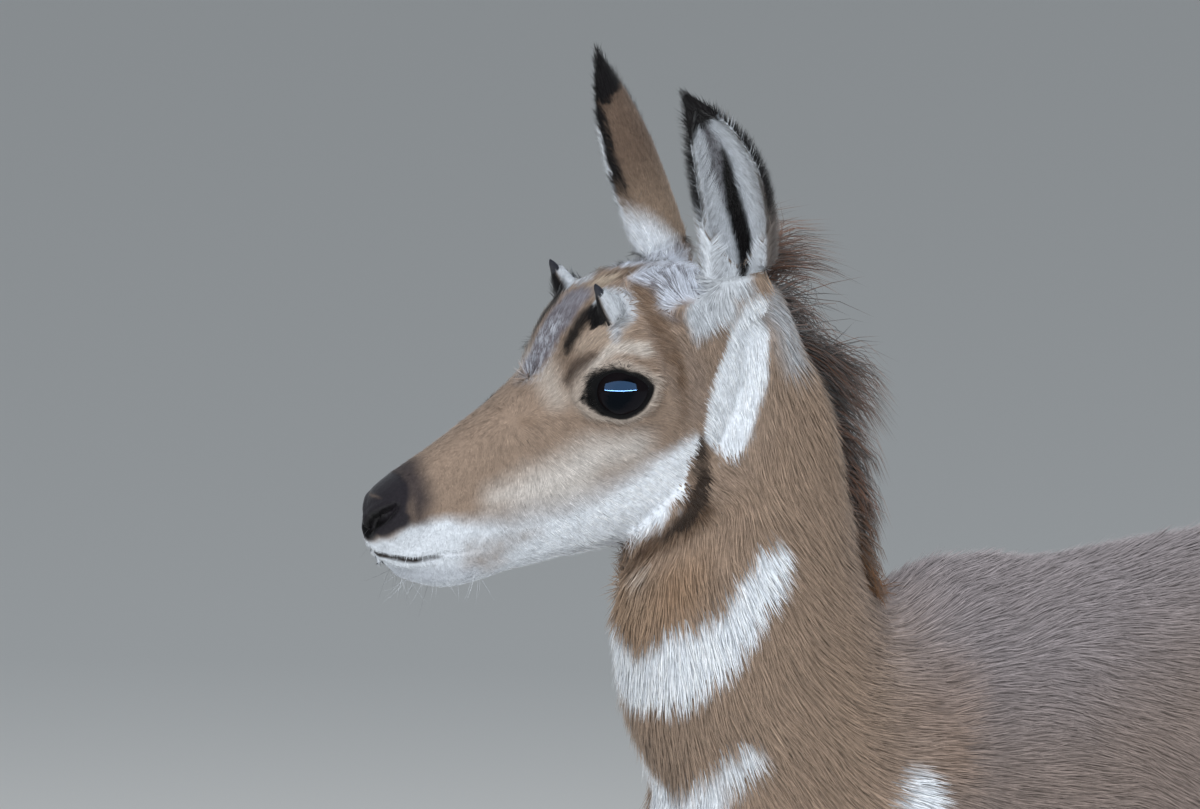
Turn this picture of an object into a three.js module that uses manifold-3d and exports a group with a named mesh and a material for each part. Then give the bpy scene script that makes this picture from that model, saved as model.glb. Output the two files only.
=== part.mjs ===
// A young pronghorn of three to four months, standing, at life size.
// Millimetres, +Z up. The animal faces -X, its left side is on -Y, and the origin lies on the
// ground under the middle of its box. The body is worked out in a frame of its own, the body
// frame, with x forward, y to the animal's left and z up, which the last group turns round.
import * as THREE from 'three';
import { mergeVertices } from 'three/addons/utils/BufferGeometryUtils.js';
import Module from 'manifold-3d';

const wasm = await Module();
wasm.setup();

// Driving sizes
const GAP = 0.3; // between neighbouring pieces
const GROW = 0.45; // by which a piece is enlarged where it is cut out of its neighbour
const WITHERS = 680; // height of the shoulder
const CROUP = 698; // height of the rump
const CHEST = 414; // height of the chest's floor
const BREAST_X = 156; // front of the breast, ahead of the withers
const RUMP_X = -424; // back of the thighs
const ELBOW = 404; // height at which a foreleg leaves the trunk
const GROIN = 446; // height at which a hind leg leaves the trunk
const FORE_X = 52; // knee, ahead of the withers
const FORE_Y = 46; // knee, out from the midline
const HIND_X = -378; // hock
const HIND_Y = 50;
const POLL = new THREE.Vector3(130, -8, 820); // top of the head between the ears
const HEAD_TURN = -20; // degrees, to the animal's right
const HEAD_DROP = 33.6; // nose down
const HEAD_LEAN = -8; // left side down
const EYE = { x: 68, y: 24, z: -8, radius: 18.5, back: 16 };
const BROW = { x: 67, y: 11, z: -4.5 }; // middle of the bony rim round an eye
const EYE_SLOPE = 33; // degrees, of the opening between the lids against the head's length
const LID = 2.2; // thickness of the lids
const EAR = 117; // length of an ear
const EAR_WALL = 2.4;
const BUD = { x: 55, y: 25, z: 26, height: 21, radius: 8.5 };
const MANE_LENGTH = 46; // of a middle lock
const SEED = 20260;

// Helpers
const degrees = Math.PI / 180;
const vec = (x, y, z) => new THREE.Vector3(x, y, z);
const mix = THREE.MathUtils.lerp;

// A repeatable draw between two values
let drawState = SEED;
function draw(low, high) {
  drawState = (drawState * 1103515245 + 12345) % 2147483648;
  return mix(low, high, drawState / 2147483648);
}

// Smooth values between rows of sizes, each placed by its first number
function between(rows) {
  const sorted = [...rows].sort((a, b) => a[0] - b[0]);
  const places = sorted.map((row) => row[0]);
  const values = sorted.flatMap((row) => row.slice(1));
  const spline = new THREE.CubicInterpolant(places, values, rows[0].length - 1);
  return (place) => Array.from(spline.evaluate(place));
}

// Places from low to high, set closer together at both ends
function steps(low, high, count) {
  const places = [];
  for (let i = 0; i <= count; i++) {
    const even = i / count;
    const eased = (1 - Math.cos(even * Math.PI)) / 2;
    places.push(mix(low, high, (even + eased) / 2));
  }
  return places;
}

function toSolid(geometry) {
  const plain = geometry.clone();
  plain.deleteAttribute('normal');
  plain.deleteAttribute('uv');
  const merged = mergeVertices(plain, 1e-4);
  return new wasm.Manifold(new wasm.Mesh({
    numProp: 3,
    vertProperties: new Float32Array(merged.attributes.position.array),
    triVerts: new Uint32Array(merged.index.array),
  }));
}

// Back to a geometry: points closer than a hundredth are merged, and faces that this closes dropped
function toGeometry(solid) {
  const mesh = solid.getMesh();
  const raw = new THREE.BufferGeometry();
  raw.setAttribute('position', new THREE.BufferAttribute(new Float32Array(mesh.vertProperties), 3));
  raw.setIndex(new THREE.BufferAttribute(new Uint32Array(mesh.triVerts), 1));
  const geometry = mergeVertices(raw, 0.01);
  const corners = Array.from(geometry.index.array);
  const kept = [];
  for (let i = 0; i < corners.length; i += 3) {
    const [a, b, c] = corners.slice(i, i + 3);
    if (a !== b && b !== c && c !== a) {
      kept.push(a, b, c);
    }
  }
  geometry.setIndex(kept);
  geometry.computeVertexNormals();
  return geometry;
}

function largest(solid) {
  return solid.decompose().reduce((best, piece) => (piece.volume() > best.volume() ? piece : best));
}

function joined(solids) {
  return solids.reduce((whole, piece) => whole.add(piece));
}

// A closed skin over rings of points, with a fan at each end
function loft(rings) {
  const around = rings[0].length;
  const middle = (ring) => ring.reduce((sum, point) => sum.add(point), vec(0, 0, 0)).divideScalar(around);
  const points = [...rings.flat(), middle(rings[0]), middle(rings.at(-1))];
  const start = points.length - 2;
  const index = [];
  for (let r = 0; r < rings.length - 1; r++) {
    for (let i = 0; i < around; i++) {
      const a = r * around + i;
      const b = r * around + ((i + 1) % around);
      index.push(a, b, b + around, a, b + around, a + around);
    }
  }
  const lastRing = (rings.length - 1) * around;
  for (let i = 0; i < around; i++) {
    const next = (i + 1) % around;
    index.push(start, next, i, start + 1, lastRing + i, lastRing + next);
  }
  if (volumeOf(points, index) < 0) {
    index.reverse();
  }
  const geometry = new THREE.BufferGeometry().setFromPoints(points);
  geometry.setIndex(index);
  return toSolid(geometry);
}

function volumeOf(points, index) {
  let volume = 0;
  for (let i = 0; i < index.length; i += 3) {
    const [a, b, c] = [points[index[i]], points[index[i + 1]], points[index[i + 2]]];
    volume += a.dot(b.clone().cross(c)) / 6;
  }
  return volume;
}

// An egg-shaped ring: wide on side, rise and drop along top, pinched in at its top or bottom
function egg(centre, side, top, { width, rise, drop, pinch = 0 }, around) {
  const ring = [];
  for (let i = 0; i < around; i++) {
    const turn = (2 * Math.PI * i) / around;
    const height = Math.cos(turn);
    const reach = width * Math.sin(turn) * (1 - pinch * height);
    ring.push(centre.clone().addScaledVector(side, reach)
      .addScaledVector(top, height * (height > 0 ? rise : drop)));
  }
  return ring;
}

const AHEAD = vec(1, 0, 0);
const BEHIND = vec(-1, 0, 0);
const LEFT = vec(0, 1, 0);
const UP = vec(0, 0, 1);

// Trunk: x, height of the back, of the belly and of the widest line, half width, pinch at the back
const trunkRows = between([
  [BREAST_X, 596, 545, 570, 20, 0],
  [BREAST_X - 12, 622, 505, 566, 40, 0],
  [BREAST_X - 42, 640, 466, 560, 55, 0],
  [60, 656, 432, 550, 64, 0.1],
  [12, WITHERS, CHEST + 5, 538, 68, 0.22],
  [-60, WITHERS - 2, CHEST, 530, 75, 0.16],
  [-135, WITHERS + 1, CHEST + 1, 532, 82, 0.1],
  [-208, WITHERS + 5, CHEST + 12, 542, 84, 0.08],
  [-272, CROUP - 6, CHEST + 34, 560, 78, 0.1],
  [-325, CROUP, CHEST + 66, 580, 69, 0.12],
  [-374, CROUP - 9, CHEST + 108, 600, 57, 0.12],
  [RUMP_X + 17, CROUP - 31, CHEST + 144, 612, 41, 0.1],
  [RUMP_X + 4, CROUP - 44, CHEST + 165, 615, 28, 0.05],
  [RUMP_X, CROUP - 60, CHEST + 182, 616, 14, 0],
]);

function trunk(grow) {
  const rings = steps(RUMP_X - grow, BREAST_X + grow, 26).map((x) => {
    const [back, belly, wide, half, pinch] = trunkRows(THREE.MathUtils.clamp(x, RUMP_X, BREAST_X));
    const size = { width: half + grow, rise: back - wide + grow, drop: wide - belly + grow, pinch };
    return egg(vec(x, 0, wide), LEFT, UP, size, 24);
  });
  return loft(rings);
}

// Neck: height, middle forward and sideways, half depth, half width, pinch at the crest
const neckRows = between([
  [548, 72, 0, 74, 52, 0.1],
  [590, 80, 0, 81, 56, 0.15],
  [620, 94, 0, 81, 52, 0.25],
  [650, 104, 0, 77, 47, 0.3],
  [WITHERS + 1, 110, -1, 74, 42, 0.24],
  [710, 103, -3, 60, 37, 0.12],
  [756, 97, -5, 42, 34, 0.05],
  [795, 109, -7, 33, 29, 0.05],
  [812, 115, -8, 25, 22, 0],
  [822, 118, -8, 15, 13, 0],
  [826, 119, -8, 5, 5, 0],
]);
const neckEnds = { low: 548, high: 826 };

// By how much the core of the mane lies under the neck's outline, from the withers to the poll
const CREST_INSET = 9;
const { smoothstep } = THREE.MathUtils;
const crestInset = (z) => CREST_INSET * smoothstep(z, 640, 690) * (1 - smoothstep(z, 795, 820));

function neckCore(grow) {
  const rings = steps(neckEnds.low, neckEnds.high, 18).map((z) => {
    const [x, y, deep, half, pinch] = neckRows(z);
    const size = { width: half + grow, rise: deep - crestInset(z) + grow, drop: deep + grow, pinch };
    return egg(vec(x, y, z), LEFT, BEHIND, size, 24);
  });
  return loft(rings);
}

// Head, in a frame of its own: x from the poll to the nose, y to the left, z up from the line
// between the two. Rows: x, top, half width near the top, half width and height of the widest
// line, of the cheek and of the jaw's edge, bottom.
const headRows = between([
  [-8, -4, 9, 15, -20, 14, -32, 6, -42],
  [8, 12, 15, 28, -14, 23, -42, 9, -62],
  [25, 24, 19, 33, -6, 28, -48, 14, -82],
  [45, 30, 23, 36, 0, 33, -48, 18, -92],
  [65, 30, 24, 35, 2, 33, -46, 18, -94],
  [82, 23, 20, 32, 0, 31, -42, 16, -91],
  [91, 17.6, 16.5, 29.5, -3, 29.5, -40.5, 15.5, -87.5],
  [99, 14.4, 15, 27, -6, 28, -39, 15, -83.5],
  [115, 13.8, 13, 24, -10, 25, -36, 13, -77],
  [135, 13, 12, 20.5, -12, 21, -34, 11, -68],
  [155, 12.5, 12, 18.5, -10, 19, -30, 10, -59],
  [172, 13.2, 12, 18, -7, 17.5, -30, 11, -53],
  [186, 12.5, 12, 17.5, -6, 15.5, -26, 10, -45.5],
  [195, 8.6, 10, 15.5, -6, 12.5, -24, 7, -36],
  [201, 3, 6, 10.5, -8, 8, -19, 4.5, -27],
  [203.5, -3, 3, 5, -10.5, 3.5, -15.5, 1.5, -20.5],
]);
const head = { low: -8, high: 203.5, around: 26, along: 30 };

function headRing(x, grow) {
  const [top, wTop, wide, zWide, cheek, zCheek, jaw, bottom] = headRows(x);
  const half = [
    [0, top + grow], [wTop + grow, top - 3.5 + grow], [wide + grow, zWide], [cheek + grow, zCheek],
    [jaw + grow, bottom + 5 - grow], [0, bottom - grow],
  ];
  const other = half.slice(1, -1).reverse().map(([y, z]) => [-y, z]);
  const outline = [...half, ...other].map(([y, z]) => vec(x, y, z));
  return new THREE.CatmullRomCurve3(outline, true, 'centripetal').getPoints(head.around).slice(0, -1);
}

function headCore(grow) {
  return loft(steps(head.low, head.high, head.along).map((x) => headRing(x, grow)));
}

// Turns a solid of the head's frame into the body frame
const headPlace = new THREE.Matrix4().compose(
  POLL,
  new THREE.Quaternion().setFromEuler(
    new THREE.Euler(HEAD_LEAN * degrees, HEAD_DROP * degrees, HEAD_TURN * degrees, 'ZYX'),
  ),
  vec(1, 1, 1),
);
const place = (solid, matrix) => solid.transform(matrix.elements);
const onHead = (solid) => place(solid, headPlace);

function ball(centre, radii, across = 24, down = 14) {
  const geometry = new THREE.SphereGeometry(1, across, down);
  geometry.rotateX(Math.PI / 2);
  geometry.scale(radii.x, radii.y, radii.z);
  geometry.translate(centre.x, centre.y, centre.z);
  return toSolid(geometry);
}

// Pieces of the head are made for its left side and mirrored for its right
const onSide = (solid, side) => (side > 0 ? solid : solid.mirror([0, 1, 0]));

// Eyes: the front of each ball, behind lids that are open in the shape of an almond
const eyeCentre = vec(EYE.x, EYE.y, EYE.z);
const eyeLook = vec(0.42, 0.9, 0.1).normalize();

function eyeball(grow) {
  const radius = EYE.radius + grow;
  return ball(eyeCentre, vec(radius, radius, radius), 18, 12).trimByPlane([0, 1, 0], EYE.back - grow);
}

function lids() {
  const radius = EYE.radius + LID;
  return ball(eyeCentre, vec(radius, radius, radius), 20, 12).trimByPlane([0, 1, 0], EYE.back - 8);
}

// The bony rim round each eye, which stands out from the head
function orbit() {
  return ball(vec(BROW.x, BROW.y, BROW.z), vec(33, 31.5, 26), 18, 12).trimByPlane([0, 1, 0], 4);
}

function lidOpening() {
  const half = 18;
  const almond = new THREE.Shape();
  almond.moveTo(-half, 0);
  almond.quadraticCurveTo(-1, -23, half, 0);
  almond.quadraticCurveTo(2, 21, -half, 0);
  const prism = new THREE.ExtrudeGeometry(almond, { depth: 40, bevelEnabled: false, curveSegments: 6 });
  const along = vec(Math.cos(EYE_SLOPE * degrees), 0, Math.sin(EYE_SLOPE * degrees));
  along.addScaledVector(eyeLook, -along.dot(eyeLook)).normalize();
  const across = eyeLook.clone().cross(along);
  prism.applyMatrix4(new THREE.Matrix4().makeBasis(along, across, eyeLook).setPosition(eyeCentre));
  return toSolid(prism);
}

// Horn buds: short blunt cones that lean back a little
function bud() {
  const profile = new THREE.SplineCurve([
    new THREE.Vector2(BUD.radius, 0), new THREE.Vector2(BUD.radius * 0.8, BUD.height * 0.4),
    new THREE.Vector2(BUD.radius * 0.42, BUD.height * 0.82), new THREE.Vector2(0, BUD.height),
  ]).getPoints(7);
  const cone = new THREE.LatheGeometry([new THREE.Vector2(0, 0), ...profile], 14);
  cone.rotateX(Math.PI / 2);
  cone.rotateY(-3 * degrees);
  cone.translate(BUD.x, BUD.y, BUD.z - 4);
  return toSolid(cone);
}

// Nostrils: a curved slot that runs back and up from the front of the nose
function nostril() {
  const path = new THREE.QuadraticBezierCurve3(vec(206, 8, -5), vec(201, 12, 7), vec(189, 21, 4));
  const rings = [];
  for (let i = 0; i <= 8; i++) {
    const along = path.getTangent(i / 8);
    const side = along.clone().cross(UP).normalize();
    const size = 1.4 + 2.6 * Math.sin((Math.PI * (i + 0.6)) / 9);
    const shape = { width: size * 1.5, rise: size, drop: size };
    rings.push(egg(path.getPoint(i / 8), side, side.clone().cross(along), shape, 10));
  }
  return loft(rings);
}

// Mouth: a thin slot round the muzzle, no deeper than its lips
function mouth() {
  const line = new THREE.QuadraticBezierCurve(
    new THREE.Vector2(212, -15), new THREE.Vector2(190, -15), new THREE.Vector2(166, -31),
  ).getPoints(8);
  const upper = line.map((point, i) => new THREE.Vector2(point.x, point.y + mix(1.1, 0.3, i / 8)));
  const lower = line.map((point, i) => new THREE.Vector2(point.x, point.y - mix(0.5, 0.2, i / 8)));
  const shape = new THREE.Shape([...upper, ...lower.reverse()]);
  const slot = new THREE.ExtrudeGeometry(shape, { depth: 60, bevelEnabled: false });
  slot.rotateX(Math.PI / 2);
  slot.translate(0, 30, 0);
  return toSolid(slot).subtract(headCore(-4));
}

function headSolid() {
  let whole = headCore(0);
  for (const side of [1, -1]) {
    whole = whole.add(onSide(orbit(), side)).add(onSide(lids(), side));
  }
  for (const side of [1, -1]) {
    whole = whole.subtract(onSide(lidOpening(), side));
    whole = whole.subtract(onSide(eyeball(GAP), side));
    whole = whole.subtract(onSide(nostril(), side));
  }
  return largest(whole.subtract(mouth()));
}

// Ears: a tapered leaf, hollowed from the front into a cup
const ears = {
  left: {
    base: vec(3, 31, -4), bend: vec(-31, 41, 44), tip: vec(-23, 44, 102), open: vec(0.35, 0.9, 0.2),
  },
  right: {
    base: vec(8.5, -31, 0), bend: vec(-5.5, -42, 57), tip: vec(-20, -44, 104), open: vec(0.6, -0.8, 0.1),
  },
};
const earHalf = between([
  [-0.1, 9], [-0.03, 14], [0.02, 15.5], [0.15, 16.5], [0.35, 17.3], [0.55, 16.5], [0.75, 12], [0.9, 6],
  [1, 1.2],
]);

function earRings(ear, from, to, count, around, shrink, ahead) {
  const path = new THREE.QuadraticBezierCurve3(ear.base, ear.bend, ear.tip);
  const rings = [];
  for (let i = 0; i <= count; i++) {
    const t = mix(from, to, i / count);
    const along = path.getTangent(THREE.MathUtils.clamp(t, 0, 1));
    const centre = path.getPoint(THREE.MathUtils.clamp(t, 0, 1));
    centre.addScaledVector(along, Math.min(t, 0) * EAR);
    const front = ear.open.clone().addScaledVector(along, -ear.open.dot(along)).normalize();
    const side = along.clone().cross(front);
    const end = shrink > 0 ? Math.min(1, (count - i) / 2, i / 1.5) : 1;
    const half = Math.max((earHalf(t)[0] - shrink) * end, 0.3);
    const back = Math.max((earHalf(t)[0] * mix(0.95, 0.5, t) - shrink) * end, 0.3);
    const size = { width: half, rise: ahead * Math.max(half, 0.5), drop: back };
    rings.push(egg(centre, side, front, size, around));
  }
  return rings;
}

function earSolid(ear) {
  const leaf = loft(earRings(ear, -0.1, 1, 13, 16, 0, 0.35));
  const cup = loft(earRings(ear, 0.14, 0.95, 10, 14, EAR_WALL, 2.2));
  return onHead(leaf.subtract(cup));
}

// Legs. Rows: height, middle forward and sideways, half depth, half width
const foreRows = between([
  [8, FORE_X + 16, FORE_Y - 2, 16, 17],
  [26, FORE_X + 15, FORE_Y - 2, 17, 17],
  [44, FORE_X + 7, FORE_Y - 2, 10.5, 11.5],
  [62, FORE_X, FORE_Y - 2, 13, 13],
  [84, FORE_X - 1, FORE_Y - 2, 10, 10],
  [150, FORE_X - 1, FORE_Y - 1, 9.5, 9],
  [212, FORE_X - 1, FORE_Y, 12, 11.5],
  [238, FORE_X, FORE_Y, 16, 15],
  [262, FORE_X, FORE_Y + 1, 15, 13.5],
  [295, FORE_X - 2, FORE_Y + 2, 17, 13.5],
  [350, FORE_X - 6, FORE_Y + 4, 24, 17],
  [ELBOW, FORE_X - 12, FORE_Y + 4, 36, 19],
  [440, FORE_X - 6, FORE_Y + 3, 46, 21],
  [490, FORE_X + 6, FORE_Y + 2, 52, 23],
  [540, FORE_X + 12, FORE_Y + 3, 52, 24],
  [590, FORE_X - 16, FORE_Y - 2, 50, 19],
  [632, FORE_X - 42, FORE_Y - 16, 38, 12],
  [652, FORE_X - 54, FORE_Y - 26, 18, 6],
]);
const hindRows = between([
  [8, HIND_X + 22, HIND_Y, 16, 16.5],
  [26, HIND_X + 21, HIND_Y, 17, 16.5],
  [44, HIND_X + 13, HIND_Y, 11, 12],
  [66, HIND_X + 4, HIND_Y, 13.5, 13],
  [92, HIND_X + 2, HIND_Y, 11, 10],
  [150, HIND_X, HIND_Y, 10.5, 9.5],
  [225, HIND_X - 2, HIND_Y, 12.5, 10.5],
  [280, HIND_X - 4, HIND_Y, 17, 13],
  [312, HIND_X - 3, HIND_Y, 23, 15],
  [340, HIND_X + 10, HIND_Y + 1, 24, 14.5],
  [372, HIND_X + 36, HIND_Y + 2, 30, 17],
  [410, HIND_X + 57, HIND_Y + 2, 43, 22],
  [GROIN, HIND_X + 67, HIND_Y + 2, 56, 27],
  [490, HIND_X + 72, HIND_Y + 1, 75, 32],
  [540, HIND_X + 66, HIND_Y - 1, 84, 34],
  [590, HIND_X + 56, HIND_Y - 4, 80, 31],
  [640, HIND_X + 48, HIND_Y - 12, 62, 24],
  [668, HIND_X + 44, HIND_Y - 20, 34, 12],
]);
const fore = { rows: foreRows, top: 652, cut: ELBOW, toe: FORE_X + 14, out: FORE_Y - 2 };
const hind = { rows: hindRows, top: 668, cut: GROIN, toe: HIND_X + 20, out: HIND_Y };
const legs = {
  fore_left: { ...fore, side: 1 },
  fore_right: { ...fore, side: -1 },
  hind_left: { ...hind, side: 1 },
  hind_right: { ...hind, side: -1 },
};

function limb(leg, grow) {
  const rings = steps(8, leg.top, 30).map((z) => {
    const [x, y, deep, half] = leg.rows(z);
    const size = { width: half + grow, rise: deep + grow, drop: deep + grow };
    return egg(vec(x, y * leg.side, z), LEFT, AHEAD, size, 14);
  });
  return loft(rings);
}

// The coronet, where the leg ends and the claws begin, falls towards the heel
const coronet = vec(-0.34, 0, 0.94).normalize();
const coronetHeight = 27;
const coronetReach = (leg) => coronet.dot(vec(leg.toe, 0, coronetHeight));

function legSolid(leg) {
  return limb(leg, 0)
    .trimByPlane([0, 0, -1], -(leg.cut - GAP))
    .trimByPlane(coronet.toArray(), coronetReach(leg));
}

// Claws: two to a foot, flat below, with a blunt point ahead
function claw(leg, outer) {
  const middle = (leg.out + 9.4 * outer) * leg.side;
  const rings = [0, 5, 18, 44].map((z) => {
    const up = z / 44;
    const centre = vec(leg.toe + mix(7, -4, up), middle, z);
    const size = { width: mix(8.9, 8, up), rise: mix(26, 15, up), drop: mix(21, 15, up), pinch: 0.22 };
    return egg(centre, LEFT, AHEAD, size, 12);
  });
  return loft(rings).trimByPlane(coronet.clone().negate().toArray(), -(coronetReach(leg) - GAP));
}

// Tail: short, hanging close behind the rump
const tailRows = between([
  [0, RUMP_X + 26, 650, 15, 14],
  [0.2, RUMP_X + 8, 650, 15, 13],
  [0.4, RUMP_X - 4, 634, 18, 12],
  [0.7, RUMP_X - 8, 602, 19, 10],
  [0.9, RUMP_X - 8, 578, 12, 7],
  [1, RUMP_X - 6, 568, 5, 3],
]);

// A flat lock, pointed at its end: it leaves its root along out and bends over towards lie.
// Twist turns its flat about its own length.
function lock(root, out, lie, { length, width, thick, twist = 0 }) {
  const across = out.clone().cross(lie).normalize();
  const rings = [];
  for (let i = 0; i <= 4; i++) {
    const t = i / 4;
    const rise = length * (0.72 * t - 0.45 * t * t);
    const run = length * (0.3 * t + 0.58 * t * t);
    const centre = root.clone().addScaledVector(out, rise - 6 * (1 - t)).addScaledVector(lie, run);
    const flat = out.clone().multiplyScalar(1 - t * 0.6).addScaledVector(lie, -0.9 * t).normalize();
    const along = across.clone().cross(flat);
    const taper = 1 - 0.92 * t ** 2.4;
    const size = { width: width * taper, rise: thick * taper, drop: thick * taper };
    const broad = across.clone().applyAxisAngle(along, twist);
    rings.push(egg(centre, broad, flat.applyAxisAngle(along, twist), size, 4));
  }
  return loft(rings);
}

function tailSolid() {
  const rings = [];
  for (let i = 0; i <= 10; i++) {
    const [x, z, half, deep] = tailRows(i / 10);
    const thick = i < 3 ? vec(0.35, 0, 1).normalize() : AHEAD;
    rings.push(egg(vec(x, 0, z), LEFT, thick, { width: half, rise: deep, drop: deep }, 10));
  }
  const locks = [];
  for (let i = 0; i < 9; i++) {
    const t = mix(0.45, 0.85, (i % 3) / 2);
    const [x, z, half, deep] = tailRows(t);
    const column = Math.floor(i / 3) - 1;
    const out = vec(-1, column * 1.1, 0.1).normalize();
    const root = vec(x - deep * (column === 0 ? 0.9 : 0.55), column * half * 0.75, z);
    const lie = vec(-0.12, column * 0.15, -1).normalize();
    locks.push(lock(root, out, lie, { length: 30 * draw(0.85, 1.1), width: 6, thick: 1.6 }));
  }
  return joined([loft(rings), ...locks]);
}

// Mane: rows of locks that stand off the crest, bend down the neck and overlap
const MANE_ROWS = 14;

function maneLocks() {
  const locks = [];
  for (let row = 0; row < MANE_ROWS; row++) {
    for (const column of row % 2 ? [-0.5, 0.5] : [-1, 0, 1]) {
      const t = row / (MANE_ROWS - 1);
      const z = mix(816, 674, t);
      const [x, y, deep] = neckRows(z);
      const out = vec(-1, column * 0.45, mix(0.8, 0.15, t)).normalize();
      const lie = vec(mix(-1.1, -0.25, t), column * 0.2 + draw(-0.12, 0.12), -1).normalize();
      const root = vec(x - deep + crestInset(z) + Math.abs(column) * 3.5, y + column * 9, z);
      const length = MANE_LENGTH * mix(1.15, 0.5, t) * draw(0.85, 1.15);
      const twist = column === 0 ? draw(1.2, 1.9) : draw(-0.5, 0.5) - column * 0.5;
      locks.push(lock(root, out, lie, { length, width: 7.5, thick: 1.6, twist }));
    }
  }
  return locks;
}

// The plane between neck and trunk runs from the withers to the breast
const neckBase = vec(115, 0, 140).normalize();
const neckReach = neckBase.dot(vec(26, 0, WITHERS + 8));

// Materials, one to a piece
const coats = { tan: 0xb08d6b, dark: 0x3a2c23, black: 0x100e10, white: 0xe8e4dc, horn: 0x1c1a1b };
const pronghorn = new THREE.Group();

function addPiece(name, solid, color, roughness = 0.9) {
  const material = new THREE.MeshStandardMaterial({ color, roughness, metalness: 0 });
  const mesh = new THREE.Mesh(toGeometry(solid), material);
  mesh.name = name;
  pronghorn.add(mesh);
}

const headGrown = onHead(headCore(GROW));
const shoulders = Object.values(legs).map((leg) => limb(leg, 0).trimByPlane(UP.toArray(), leg.cut));
const trunkWhole = joined([trunk(0), ...shoulders]);
const neckWhole = joined([neckCore(0), ...maneLocks()]);
const behindNeck = neckBase.clone().negate().toArray();
const body = trunkWhole.add(neckCore(0)).trimByPlane(behindNeck, -(neckReach - GAP));
addPiece('torso', largest(body), coats.tan);
const neck = trunkWhole.add(neckWhole).trimByPlane(neckBase.toArray(), neckReach).subtract(headGrown);
addPiece('neck', largest(neck), coats.tan);
addPiece('head', onHead(headSolid()), coats.tan);

const neckGrown = neckCore(GROW);
for (const side of ['left', 'right']) {
  const sign = side === 'left' ? 1 : -1;
  const ear = earSolid(ears[side]).subtract(headGrown).subtract(neckGrown);
  addPiece(`ear_${side}`, largest(ear), coats.tan);
  addPiece(`eye_${side}`, onHead(onSide(eyeball(0), sign)), coats.black, 0.08);
  const horn = onHead(onSide(bud(), sign)).subtract(headGrown);
  addPiece(`horn_bud_${side}`, largest(horn), coats.horn, 0.6);
}

for (const [name, leg] of Object.entries(legs)) {
  addPiece(`leg_${name}`, largest(legSolid(leg)), coats.tan);
  addPiece(`claw_${name}_outer`, claw(leg, 1), coats.horn, 0.45);
  addPiece(`claw_${name}_inner`, claw(leg, -1), coats.horn, 0.45);
}

const rumpGrown = joined([trunk(GROW), limb(legs.hind_left, GROW), limb(legs.hind_right, GROW)]);
addPiece('tail', largest(tailSolid().subtract(rumpGrown)), coats.white);

// Turned to face -X, and set with the middle of its box over the origin
pronghorn.rotation.z = Math.PI;
pronghorn.updateMatrixWorld(true);
const box = new THREE.Box3().setFromObject(pronghorn, true);
pronghorn.position.set(-(box.min.x + box.max.x) / 2, -(box.min.y + box.max.y) / 2, -box.min.z);

export default pronghorn;
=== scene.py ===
import math

import bmesh
import bpy
import numpy as np
from mathutils import Euler, Matrix, Vector
from mathutils.bvhtree import BVHTree


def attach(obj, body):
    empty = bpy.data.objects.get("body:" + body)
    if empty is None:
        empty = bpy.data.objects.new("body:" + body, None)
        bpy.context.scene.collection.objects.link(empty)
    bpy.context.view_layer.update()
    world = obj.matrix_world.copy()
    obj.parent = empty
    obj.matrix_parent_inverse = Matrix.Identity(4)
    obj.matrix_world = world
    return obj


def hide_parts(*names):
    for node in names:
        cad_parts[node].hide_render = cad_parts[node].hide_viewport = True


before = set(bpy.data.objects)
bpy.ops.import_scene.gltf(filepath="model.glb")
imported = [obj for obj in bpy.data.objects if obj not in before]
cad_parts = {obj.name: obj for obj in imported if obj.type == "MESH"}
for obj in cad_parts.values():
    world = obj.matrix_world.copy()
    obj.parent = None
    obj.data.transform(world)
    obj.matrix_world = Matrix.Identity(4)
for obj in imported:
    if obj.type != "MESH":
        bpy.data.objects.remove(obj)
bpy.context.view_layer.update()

# The place where the young animal stands: a plain pale floor under soft studio light, seen
# from far off, forty degrees round to its left and a little above the height of its back.
withers = Vector((-0.08134, 0, 0.680))
round_left, from_above = math.radians(40), math.radians(7)
across = Vector((math.cos(round_left), -math.sin(round_left), 0))
look = Vector(
    (
        math.sin(round_left) * math.cos(from_above),
        math.cos(round_left) * math.cos(from_above),
        -math.sin(from_above),
    )
)
upward = across.cross(look)
far_off, picture_width = 60, 0.552
camera = bpy.data.objects.new("camera", bpy.data.cameras.new("camera"))
bpy.context.scene.collection.objects.link(camera)
camera.location = withers - 0.1541 * across + 0.0692 * upward - far_off * look
camera.rotation_euler = Matrix((across, upward, -look)).transposed().to_euler()
camera.data.sensor_width = 36
camera.data.lens = 36 * far_off / picture_width
camera.data.clip_start = 1
camera.data.clip_end = 300
bpy.context.scene.camera = camera
bpy.context.scene.view_settings.view_transform = "Standard"

floor_mesh = bmesh.new()
bmesh.ops.create_grid(floor_mesh, x_segments=4, y_segments=4, size=90)
floor = bpy.data.objects.new("floor", bpy.data.meshes.new("floor"))
floor_mesh.to_mesh(floor.data)
floor_mesh.free()
bpy.context.scene.collection.objects.link(floor)
floor_paint = bpy.data.materials.new("floor paint")
floor_paint.use_nodes = True
floor_shader = floor_paint.node_tree.nodes["Principled BSDF"]
floor_shader.inputs["Base Color"].default_value = (0.74, 0.74, 0.725, 1)
floor_shader.inputs["Roughness"].default_value = 0.9
floor.data.materials.append(floor_paint)

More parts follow.
